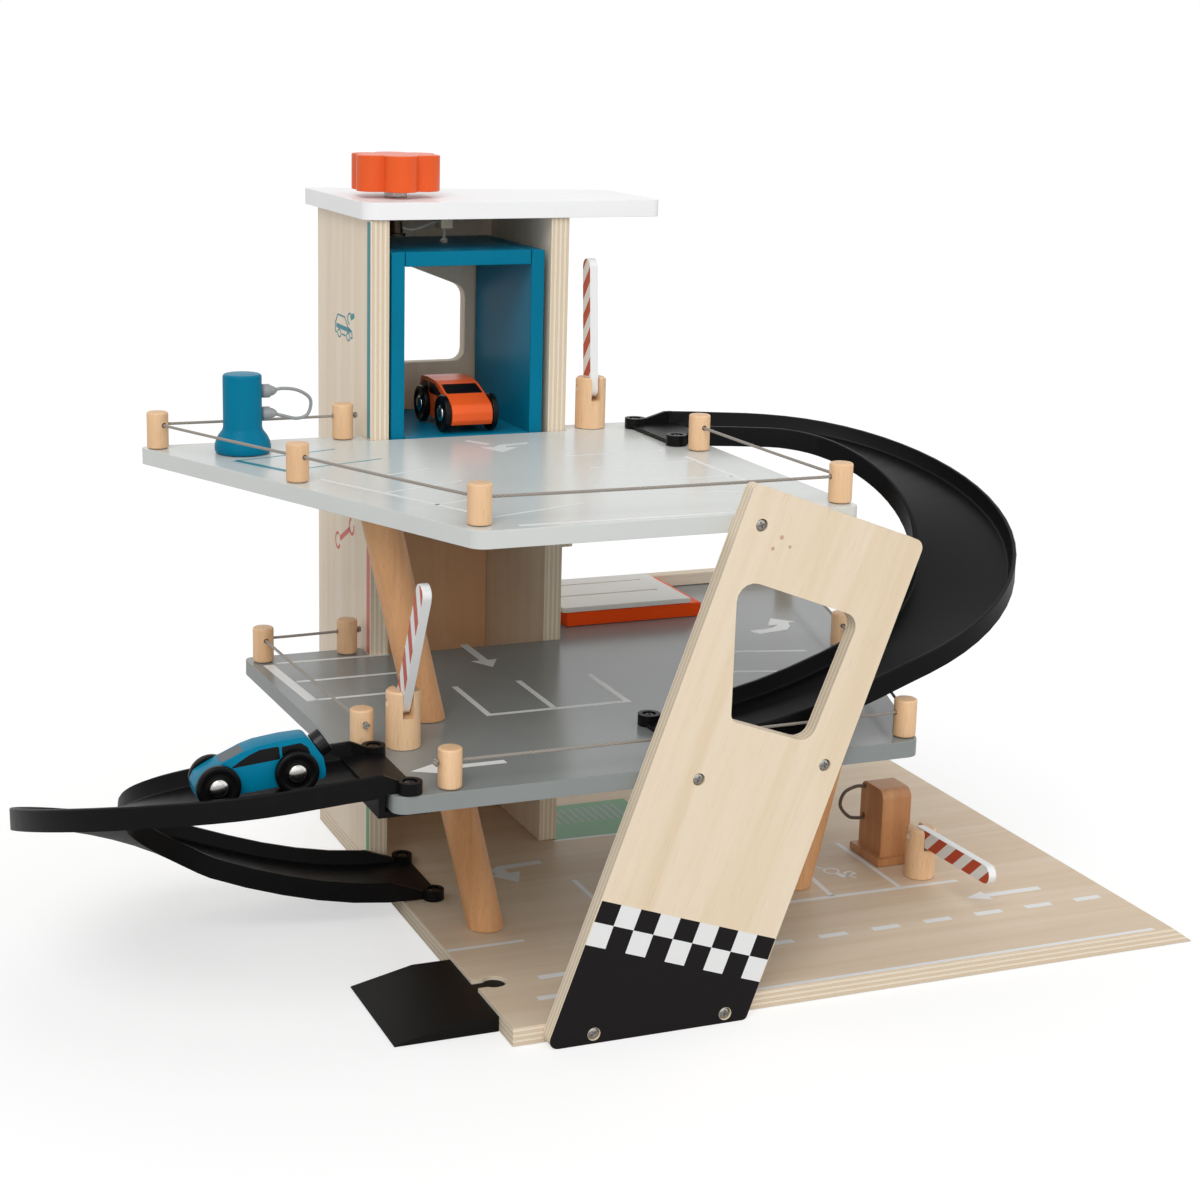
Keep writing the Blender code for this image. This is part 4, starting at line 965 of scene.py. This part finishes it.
charger = {
    "x": -78.5, "y": 223.5, "height": 43.5, "radius": 10.7, "topRound": 1.5, "cableRadius": 0.95,
    "foot": [
        (10.7, 14.4), (11.2, 12.6), (12.0, 11.5), (12.7, 10.6), (13.5, 9.5), (14.2, 8.2), (14.8, 6.8),
        (15.2, 5.2), (15.5, 3.8), (15.5, 2.6), (15.3, 1.2), (14.9, 0.4), (14.3, 0.0), (0, 0),
    ],
    "plugs": {"Top": 33.5, "Low": 21.0},    # heights above the post's foot
    "plugGap": 0.3, "plugRadius": 3.3, "plugRound": 0.5, "plugBack": -0.3, "plugFront": 4.4,
    "plugTip": [(3.2, 4.4), (2.9, 5.4), (2.4, 6.6), (1.7, 7.7), (1.0, 8.3), (0, 8.4)],
    "cable": [    # out from the post, and up from one of the plugs or their middle
        (6, "Top", 0), (12, "Top", 1.0), (21, "Top", -0.6), (27.6, "middle", 0.5),
        (26.2, "Low", -1.2), (20, "Low", -3.6), (12, "Low", -1.8), (6, "Low", 0),
    ],
}
postSpot = place(charger["x"], charger["y"])
postSpot.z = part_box("charger_post")[0].z
edge = charger["topRound"]
profile = [(0, charger["height"])]
profile += arcPoints(charger["radius"] - edge, charger["height"] - edge, edge, 90, 0, 6) + charger["foot"]
piece = turned(profile, Matrix.Translation(postSpot), 80)
piece = finishPiece(piece, "chargingPost", "garage", finish["charger"], 40)
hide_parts("charger_post")
start = charger["x"] + charger["radius"] + charger["plugGap"]
levels = {label: (postSpot.z - boardCorner.z) * 1000 + up for label, up in charger["plugs"].items()}
levels["middle"] = sum(levels.values()) / 2
cableLine = eased([place(start + out, charger["y"], levels[level] + up) for out, level, up in charger["cable"]], 8)
cable = sweep("chargingCable", cableLine, charger["cableRadius"] / 1000)
cable = finishCord(cable, "chargingCable", "garage", finish["plug"])
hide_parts("charger_cable")
for label in charger["plugs"]:
    turn = Matrix.Translation(place(start, charger["y"], levels[label])) @ Matrix.Rotation(math.radians(90), 4, "Y")
    radius, edge = charger["plugRadius"], charger["plugRound"]
    profile = [(0, -2.0), (radius, charger["plugBack"])] + arcPoints(radius, edge, edge, -90, 0, 3)
    profile += arcPoints(radius, charger["plugFront"] - edge, edge, 0, 90, 3) + charger["plugTip"]
    plug = turned(profile, turn, 36)
    finishPiece(plug, "chargingPlug" + label, "garage", finish["plug"], 40)
print("charging post ready")


# Pump hose

hose = {    # the route is to X and up from the pump's foot
    "x": 289.0, "y": 159.8, "radius": 1.05,
    "route": [
        (3, 42.6), (-1, 42.6), (-6.5, 42.8), (-14, 39.6), (-16.4, 31.8),
        (-10.5, 24.3), (-4.5, 22.6), (-1, 22.4), (3, 22.4),
    ],
}
hoseFoot = (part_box("fuel_pump")[0].z - boardCorner.z) * 1000
hoseLine = eased([place(hose["x"] + x, hose["y"], hoseFoot + z) for x, z in hose["route"]])
piece = sweep("pumpHose", hoseLine, hose["radius"] / 1000)
piece = finishCord(piece, "pumpHose", "garage", finish["hose"])
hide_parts("pump_hose")


# Screws: one pan head with a cross recess, copied to every seat

screws = {
    "panel": {"radius": 3.1, "height": 2.0, "front": -6.9},    # front is the seat's Y on the panel
    "track": {"radius": 3.3, "height": 2.4, "earOut": 29.0, "seat": 3.7},    # seat is its height above the board
    "sides": 40, "rim": 0.4, "dome": 0.55, "cross": (1.15, 0.2, 1.1),    # the cross as shares of radius and height
    "panelSeats": [(122.0, 261.4, 20), (93.1, 133.8, 65), (163.9, 133.8, 10), (39.9, 5.2, 35), (113.0, 5.2, 80)],
    "trackSeats": [
        (163.5, 207.0, upperTop, 15),
        (100.7, 39.0, middleTop, 50),
        (-53.4, 34.0, middleTop, 30),
        (17.5, 202.0, baseTop, 70),
    ],
}


def screwHead(kind):
    radius, height = screws[kind]["radius"], screws[kind]["height"]
    profile = [(0, height)]
    for degrees in range(15, 76, 15):
        angle = math.radians(degrees)
        rise = 1 - screws["dome"] + screws["dome"] * math.cos(angle)
        profile.append((radius * math.sin(angle), height * rise))
    profile += [(radius, height * screws["rim"]), (radius, 0), (0, 0)]
    head = turned(profile, Matrix.Identity(4), screws["sides"])
    long, wide, deep = screws["cross"]
    for angle in (0, 90):
        deselectAll()
        bpy.ops.mesh.primitive_cube_add(size=1, location=(0, 0, height / 1000))
        bar = bpy.context.object
        bar.scale = (radius * long / 1000, radius * wide / 1000, height * deep / 1000)
        bar.rotation_euler.z = math.radians(angle)
        bpy.context.view_layer.update()
        cutAway(head, bar)
    return head


def screwsAt(name, kind, seats, material):    # a seat is its middle, how it lies, and the cross's turn
    head = screwHead(kind)
    copies = []
    for middle, lie, turn in seats:
        copy = head.copy()
        copy.data = head.data.copy()
        bpy.context.scene.collection.objects.link(copy)
        copy.matrix_world = Matrix.Translation(middle) @ lie @ Matrix.Rotation(math.radians(turn), 4, "Z")
        copies.append(settle(copy))
    finishPiece(joinPieces(copies), name, "garage", material, 35)
    bpy.data.objects.remove(head, do_unlink=True)


frontward = Matrix.Rotation(math.radians(90), 4, "X")
seats = [(place(x, screws["panel"]["front"], z), frontward, turn) for x, z, turn in screws["panelSeats"]]
screwsAt("panelScrews", "panel", seats, finish["steel"])
seats = []
for x, y, z, turn in screws["trackSeats"]:
    for offset in (-screws["track"]["earOut"], screws["track"]["earOut"]):
        seats.append((place(x, y + offset, z + screws["track"]["seat"]), Matrix.Identity(4), turn + offset))
screwsAt("trackScrews", "track", seats, finish["darkSteel"])
print("screws ready")


# Cars

wheel = {
    "radius": 10.8, "gap": 0.45, "width": 3.6, "sides": 72, "capSides": 48, "cap": 4.5, "capUp": 1.2, "capRound": 1.4,
    "face": [(3.2, 0), (4.9, -0.3), (5.3, -0.8), (7.0, -0.9), (7.6, -0.6), (8.8, -0.1)],    # radius, and off the face
    "outerEdge": (9.8, -1.0, 1.0), "innerEdge": (9.9, 0.9, 0.9),
    "back": [(8.2, 0.1), (1.5, 0)],    # radius, and off the inner side
}
carShape = [    # x forward from the rear axle, z above the ground, and how round the corner is
    (-13.0, 4.6, 1), (47.2, 4.8, 1), (48.8, 7.6, 2.4), (49.1, 12.6, 4), (46.8, 16.6, 4), (41.9, 18.8, 5),
    (34.8, 21.6, 6), (29.1, 23.5, 6), (23.7, 25.4, 8), (17.0, 26.8, 10), (4.0, 27.3, 10), (-7.6, 26.8, 4),
    (-14.0, 15.2, 4), (-14.6, 9.0, 3), (-14.2, 6.2, 1),
]
sideWindows = [
    [(31.3, 18.2, 0.3), (27.0, 20.6, 2), (21.5, 23.2, 2), (16.3, 24.8, 1), (7.0, 24.8, 1), (6.9, 18.4, 1)],
    [(5.8, 24.3, 1), (-3.7, 24.5, 1), (-6.9, 21.8, 2), (-8.4, 17.0, 1), (5.8, 18.2, 1)],
]
windscreen = {"low": (35.0, 21.55), "high": (23.9, 25.35), "inset": 1.1, "taper": 0.6, "under": -0.4, "over": 0.13}


def roundedShape(corners, steps):    # corners are (x, z, roundness)
    return rounded([corner[:2] for corner in corners], [corner[2] for corner in corners], steps)


def carFrame(rearNode, frontNode):    # x forward, z up, origin on the ground under the rear axle
    rear, front = middleOf(rearNode), middleOf(frontNode)
    forward = (front - rear).normalized()
    side = Vector((0, 0, 1)).cross(forward).normalized()
    up = forward.cross(side)
    matrix = Matrix((forward, side, up)).transposed().to_4x4()
    matrix.translation = rear - up * wheel["radius"] / 1000
    return matrix


def buildWheels(name, ground, node, half):
    body = nodes[node]["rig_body"]
    inner = half + wheel["gap"]
    outer = inner + wheel["width"]
    axle = ground.to_3x3() @ Vector((0, 1, 0))
    matrix = Matrix.Translation(middleOf(node)) @ axle.to_track_quat("Z", "X").to_matrix().to_4x4()
    side = [(radius, outer + off) for radius, off in wheel["face"]]
    radius, off, edge = wheel["outerEdge"]
    side += arcPoints(radius, outer + off, edge, 90, 0, 5)
    radius, off, edge = wheel["innerEdge"]
    side += arcPoints(radius, inner + off, edge, 0, -80, 4)
    side += [(radius, inner + off) for radius, off in wheel["back"]]
    profile = [(0, outer)] + side + [(radius, -height) for radius, height in reversed(side)] + [(0, -outer)]
    pair = turned(profile, matrix, wheel["sides"])
    pair = finishPiece(pair, name + "Wheels", body, finish["tyre"], 38)
    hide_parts(node)
    caps = []
    for way in (-1, 1):
        cap = [(0, outer + wheel["capUp"])]
        for degrees in range(12, 91, 13):
            angle = math.radians(degrees)
            cap.append((wheel["cap"] * math.sin(angle), outer - 0.2 + wheel["capRound"] * math.cos(angle)))
        cap += [(wheel["cap"], outer - 0.6), (0, outer - 0.6)]
        caps.append(turned([(radius, height * way) for radius, height in cap], matrix, wheel["capSides"]))
    finishPiece(joinPieces(caps), name + "HubCaps", body, finish["hub"], 40)


def buildCar(label, body, half, paint, screenInk):    # half is half the body's width
    rearNode, frontNode, bodyNode = (body + part for part in ("_rear_wheels", "_front_wheels", "_body"))
    ground = carFrame(rearNode, frontNode)
    upright = ground @ Matrix.Rotation(math.radians(90), 4, "X")    # u forward, v up, out to the right side
    shell = slab([roundedShape(carShape, 6)], -half, half, upright)
    edge = shell.modifiers.new("edges", "BEVEL")
    edge.width = 0.0013
    edge.segments = 4
    edge.limit_method = "ANGLE"
    edge.angle_limit = math.radians(60)
    applyModifiers(shell)
    finishPiece(shell, label + "Body", body, finish[paint], 40)
    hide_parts(bodyNode)
    panes = []
    for side in (-1, 1):
        low, high = sorted((side * (half + printed["lift"]), side * (half + printed["lift"] + printed["thickness"])))
        for corners in sideWindows:
            panes.append(slab([roundedShape(corners, 4)], low, high, upright))
    finishPiece(joinPieces(panes), label + "SideWindows", body, finish["windowInk"], 0)
    (lowX, lowZ), (highX, highZ) = windscreen["low"], windscreen["high"]
    slope = Matrix.Rotation(math.atan2(highZ - lowZ, lowX - highX), 4, "Y") @ Matrix.Rotation(math.pi, 4, "Z")
    screenAt = ground @ Matrix.Translation(Vector((lowX, 0, lowZ)) / 1000) @ slope
    wide = half - windscreen["inset"]
    narrow = wide - windscreen["taper"]
    length = math.hypot(highZ - lowZ, lowX - highX)
    corners = [(0, -wide, 1), (length, -narrow, 1), (length, narrow, 1), (0, wide, 1)]
    screen = slab([roundedShape(corners, 4)], windscreen["under"], windscreen["over"], screenAt)
    finishPiece(screen, label + "Windscreen", body, finish[screenInk], 0)
    buildWheels(label + "Rear", ground, rearNode, half)
    buildWheels(label + "Front", ground, frontNode, half)
    return ground


blueGround = buildCar("blueCar", "blue_car", 6.5, "blueCar", "screenInk")
buildCar("orangeCar", "orange_car", 12.3, "orange", "windowInk")

magnet = {    # on the blue car's rear; its own profile runs from the free face to the foot
    "way": (-11.6, 0, 6.4), "foot": (-11.8, 0, 19.2), "up": 0.3,
    "face": [(0, 5.4), (5.0, 5.4), (5.2, 5.7)], "rim": (5.7, 5.0, 0.7), "back": [(6.4, 0.4), (6.0, 0), (0, 0)],
    "disc": [(0, 5.65), (4.6, 5.65), (4.8, 5.45), (4.8, 5.0), (0, 5.0)],
}
way = Vector(magnet["way"]).normalized()
foot = Vector(magnet["foot"]) + way * magnet["up"]
turn = blueGround @ (Matrix.Translation(foot / 1000) @ way.to_track_quat("Z", "Y").to_matrix().to_4x4())
cup = turned(magnet["face"] + arcPoints(*magnet["rim"], 90, 0, 4) + magnet["back"], turn, 48)
cup = finishPiece(cup, "blueCarMagnet", "blue_car", finish["magnet"], 38)
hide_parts("blue_car_magnet")
finishPiece(turned(magnet["disc"], turn, 40), "blueCarMagnetDisc", "blue_car", finish["hub"], 38)
print("cars ready")


# Printed markings on the boards

band = {    # the panel's checks: the ends of the lines between their rows, as X and Z
    "rows": [((42.0, 76.4), (140.6, 42.5)), ((38.0, 65.8), (136.6, 31.5)), ((33.9, 54.1), (132.2, 19.9))],
    "columns": 9, "keepIn": 0.004, "panelFront": 9.3,
    "foot": [(14.0, 0.1), (125.0, 0.1), (132.2, 19.9), (33.9, 54.1)], "footRounds": [4.6, 2.8, 0, 0],
    "holes": ((39.9, 5.2), (113.0, 5.2)), "holeRadius": 3.5,
}
cells = {"blackInk": [], "whiteInk": []}
for row in range(len(band["rows"]) - 1):
    for column in range(band["columns"]):
        corners = []
        for edge, share in ((row, column), (row, column + 1), (row + 1, column + 1), (row + 1, column)):
            (x0, z0), (x1, z1) = band["rows"][edge]
            t = min(max(share / band["columns"], band["keepIn"]), 1 - band["keepIn"])
            corners.append((x0 + (x1 - x0) * t, z0 + (z1 - z0) * t))
        cells["blackInk" if (row + column) % 2 == 0 else "whiteInk"].append([corners])
holes = [circle(x, z, band["holeRadius"]) for x, z in band["holes"]]
cells["blackInk"].append([rounded(band["foot"], band["footRounds"])] + holes)
for key, groups in cells.items():
    printOn("panelChecks" + key[:5].capitalize(), groups, facingFront, band["panelFront"], finish[key])

wallLine = {"back": -246.0, "front": -240.2, "top": 389.0, "up": 0.5, "underDeck": -9.6}
for key, low, high in (
    ("tealInk", upperTop, wallLine["top"]),
    ("redInk", middleTop, upperTop + wallLine["underDeck"]),
    ("greenInk", baseTop, middleTop + wallLine["underDeck"]),
):
    low += wallLine["up"]
    back, front = wallLine["back"], wallLine["front"]
    strip = [(back, low), (front, low), (front, high), (back, high)]
    printOn("wallLine" + key[:-3].capitalize(), [[strip]], facingLeft, 0.0, finish[key])


# an electric car with its plug, and a spanner, on the tower's left side
carIcon = [
    [stroke([(-309, 325), (-309, 333), (-304, 341), (-290, 341), (-283, 333), (-276, 331), (-275, 325)], 1.5)],
    [stroke([(-309, 325), (-306, 325)], 1.5)],
    [stroke([(-296, 325), (-288, 325)], 1.5)],
    [stroke([(-278, 325), (-275, 325)], 1.5)],
    ring(-301, 325, 4.0, 1.4),
    ring(-283, 325, 4.0, 1.4),
    [rounded([(-307, 333), (-284, 333), (-278, 331), (-278, 329), (-307, 329)], 0.8, 3)],
    [stroke(arc(-279, 341, 5.0, 250, 60), 1.5)],
    [rounded([(-279, 344), (-272, 348), (-270, 344), (-277, 340)], 1.0, 3)],
]
carIconPlace = {"up": 0.1015, "flatter": 0.67}
lowered = facingLeft @ Matrix.Translation((0, carIconPlace["up"], 0))
lowered = lowered @ Matrix.Diagonal((1, carIconPlace["flatter"], 1, 1))
printOn("wallCarIcon", carIcon, lowered, 0.0, finish["tealInk"])
spanner = [
    [stroke([(-300, 195), (-280, 205)], 3.2)],
    [stroke(arc(-304.5, 193, 4.6, 60, 340), 1.8)],
    [stroke(arc(-276, 207.5, 4.6, 100, 380), 2.0)],
]
printOn("wallSpannerIcon", spanner, facingLeft, 0.0, finish["redInk"])

marking = {    # the width of each kind of line
    "edge": 3.0, "line": 3.0, "bay": 3.4, "dash": 4.6, "thin": 1.5, "short": 2.4, "wide": 6.0, "bar": 4.0, "teal": 4.2,
}


def lines(kind, *routes):
    return [[stroke(route, marking[kind])] for route in routes]


bentArrow = [    # a road arrow that turns back to the left, seen from above, on the middle deck
    (238.6, 222.1), (248.4, 221.9), (255.7, 223.8), (262.0, 229.3), (255.3, 229.9), (264.7, 244.5), (275.4, 232.1),
    (270.6, 231.6), (267.6, 224.0), (261.9, 217.2), (252.6, 215.3), (241.2, 213.3), (239.1, 217.1),
]
baseArrow = [
    (97.3, 210), (70, 209), (64, 204), (65, 196), (60.5, 196),
    (73, 181), (80, 197), (73, 196.5), (72.5, 203), (97.3, 205),
]
upperArrow = [
    (84, 209.5), (66, 206.5), (61, 201), (53, 202), (60.4, 185.4), (74, 197), (67, 199), (69, 202.5), (84, 205),
]
plugSymbol = [
    ring(256.5, 138.5, 5.0, 1.3),
    [stroke([(258, 133.5), (259.5, 127)], 3.6)],
    [stroke([(253.4, 143.5), (250.5, 148)], 1.3)],
    [stroke([(261.0, 127.0), (262.5, 133.5), (266.5, 134.5), (268.0, 130.5), (263.0, 128.5)], 1.4)],
    [stroke([(262.0, 130.0), (265.2, 123.6)], 1.4)],
]
baseMarks = lines("dash", *([(34.6 + k * 33.4, 53), (52.0 + k * 33.4, 53)] for k in range(11)))
baseMarks += plugSymbol + lines("edge", [(20, 2.4), (386, 2.4)]) + lines("dash", [(24.6, 29), (38, 29)])
baseMarks += lines("line", [(0.6, 101), (45, 101)])
baseMarks += lines("bay", [(170, 103.9), (320, 101)])
baseMarks += lines(
    "line",
    [(282.6, 178.6), (282.3, 102.8)],
    [(240.2, 134), (237.4, 103.4)],
    [(105, 142), (105, 174)],
)
baseMarks += lines("short", [(118, 237.6), (190, 235.6)]) + [[arrow(310, 75.5, 180, 50, 5.0, 14, 13)], [baseArrow]]
printOn("baseMarkings", baseMarks, flatOn, baseTop, finish["whiteInk"])
patch = rounded([(118, 237), (190, 235), (190, 295), (122, 295)], 2)
printOn("baseGreenPatch", [[patch]], flatOn, baseTop - 0.005, finish["greenInk"])
hatch = [[stroke([(128 + k * 5.0, 262), (128 + k * 5.0, 288)], 2.2)] for k in range(11)]
printOn("baseGreenHatch", hatch, flatOn, baseTop + 0.04, finish["greyInk"])

middleMarks = [[arrow(60, 195, 270, 50, 5, 15, 16)]]
middleMarks += lines("bay", [(26, 165), (26, 110), (107, 110), (107, 165)], [(64, 111), (64, 165)])
middleMarks += [[arrow(-43, 35, 180, 50, 5, 14, 15)]] + lines("wide", [(-61.5, 237.8), (-56.5, 163.5)])
middleMarks += lines(
    "line",
    [(-56, 239.5), (11.5, 238.2)],
    [(-55, 200.5), (11.5, 200.7)],
    [(-54, 164.6), (-12, 164.6)],
    [(180, 189.6), (250, 171.0)],
    [(170, 149.1), (213.8, 137.4)],
)
printOn("middleDeckMarkings", middleMarks + [[bentArrow]], flatOn, middleTop, finish["whiteInk"])

upperMarks = lines("line", [(-58.5, 139.6), (-36.0, 94.0), (-11.0, 42.0)], [(0.9, 7.0), (71.7, 5.2), (150, 4.4)])
upperMarks += lines(
    "thin",
    [(-26.7, 138.4), (5.0, 151.9)],
    [(-36.0, 98.0), (11.5, 116.0)],
    [(-22.0, 62.4), (-2.3, 69.3)],
    [(-4.6, 27.4), (51.0, 46.3)],
    [(90.0, 164.9), (148.0, 164.3)],
    [(89.7, 129.4), (153.0, 131.8)],
    [(78.3, 90.4), (154.0, 88.0)],
    [(68.6, 67.3), (139.0, 48.8)],
)
upperMarks += lines("line", [(153.7, 145), (155.5, 40)]) + [[upperArrow]] + lines("bar", [(52.5, 224), (61, 210)])
printOn("upperDeckMarkings", upperMarks, flatOn, upperTop, finish["whiteInk"])
tealBay = lines("teal", [(-88.0, 201.5), (-69.0, 165.5)])
tealBay += lines("thin", [(-88.0, 201.0), (-68.5, 205.7), (-26.9, 219.5)], [(-70.5, 166.0), (-10.5, 185.3)])
printOn("upperDeckBay", tealBay, flatOn, upperTop, finish["tealInk"])
print("markings ready")


# Light, floor and camera

photo = {"size": 1200, "focal": 2203.7, "centreX": 513.0, "centreY": 553.0, "sensor": 36.0}
standing = {"place": (-371.5, -944.5, 493.0), "azimuth": 21.232, "down": 13.265, "roll": 1.002}
azimuth, down, roll = (math.radians(standing[key]) for key in ("azimuth", "down", "roll"))
look = Vector((math.sin(azimuth) * math.cos(down), math.cos(azimuth) * math.cos(down), -math.sin(down)))
level = Vector((math.cos(azimuth), -math.sin(azimuth), 0))
upright = level.cross(look)
right = level * math.cos(roll) + upright * math.sin(roll)
above = upright * math.cos(roll) - level * math.sin(roll)
cameraData = bpy.data.cameras.new("photoCamera")
cameraData.sensor_width = photo["sensor"]
cameraData.lens = photo["focal"] / photo["size"] * photo["sensor"]
cameraData.shift_x = (photo["size"] / 2 - photo["centreX"]) / photo["size"]
cameraData.shift_y = (photo["centreY"] - photo["size"] / 2) / photo["size"]
cameraData.clip_end = 60
camera = bpy.data.objects.new("photoCamera", cameraData)
bpy.context.scene.collection.objects.link(camera)
stance = Matrix((right, above, -look)).transposed().to_4x4()
stance.translation = place(*standing["place"])
camera.matrix_world = stance
bpy.context.scene.camera = camera

studio = {
    "ambient": 0.64, "key": 1.15, "keyAngle": 35, "side": 0.3, "front": 0.42, "fillAngle": 60,
    "floorShown": 0.5, "floorGlow": 0.55, "floorBounce": 0.62,
}
world = bpy.data.worlds.new("studio")
bpy.context.scene.world = world
world.use_nodes = True
canvas["tree"] = world.node_tree
rays = addNode("ShaderNodeLightPath").outputs
seen = rays["Is Camera Ray"]
for ray in ("Is Transmission Ray", "Is Glossy Ray"):
    seen = calc("MAXIMUM", seen, rays[ray])
strength = addNode("ShaderNodeMapRange", {"Value": seen, "To Min": studio["ambient"], "To Max": 1.0})
background = world.node_tree.nodes["Background"].inputs
feed(background, "Strength", strength.outputs["Result"])
feed(background, "Color", (1, 1, 1, 1))

for name, power, angle, aim in (
    ("keyLight", studio["key"], studio["keyAngle"], Vector((0.42, 0.62, -0.75))),
    ("sideLight", studio["side"], studio["fillAngle"], Vector((-0.75, 0.5, -0.45))),
    ("frontLight", studio["front"], studio["fillAngle"], Vector((0.15, 0.95, -0.2))),
):
    lamp = bpy.data.lights.new(name, "SUN")
    lamp.energy = power
    lamp.angle = math.radians(angle)
    holder = bpy.data.objects.new(name, lamp)
    bpy.context.scene.collection.objects.link(holder)
    holder.rotation_mode = "QUATERNION"
    holder.rotation_quaternion = aim.to_track_quat("-Z", "Y")

deselectAll()
bpy.ops.mesh.primitive_plane_add(size=40, location=(0, 0, boardCorner.z - 0.0002))
floor = bpy.context.object
floor.name = "studioFloor"
floorMaterial = blankMaterial("studioFloor", 0.9)
toCamera = addNode("ShaderNodeLightPath").outputs["Is Camera Ray"]
useColour(mixed(toCamera, (studio["floorBounce"],) * 3, (studio["floorShown"],) * 3))
feed(canvas["shader"], "Emission Color", (1, 1, 1, 1))
feed(canvas["shader"], "Emission Strength", times(toCamera, studio["floorGlow"]))
useGloss(0.0)
floor.data.materials.append(floorMaterial)
bpy.context.scene.view_settings.view_transform = "Standard"

print("scene ready")
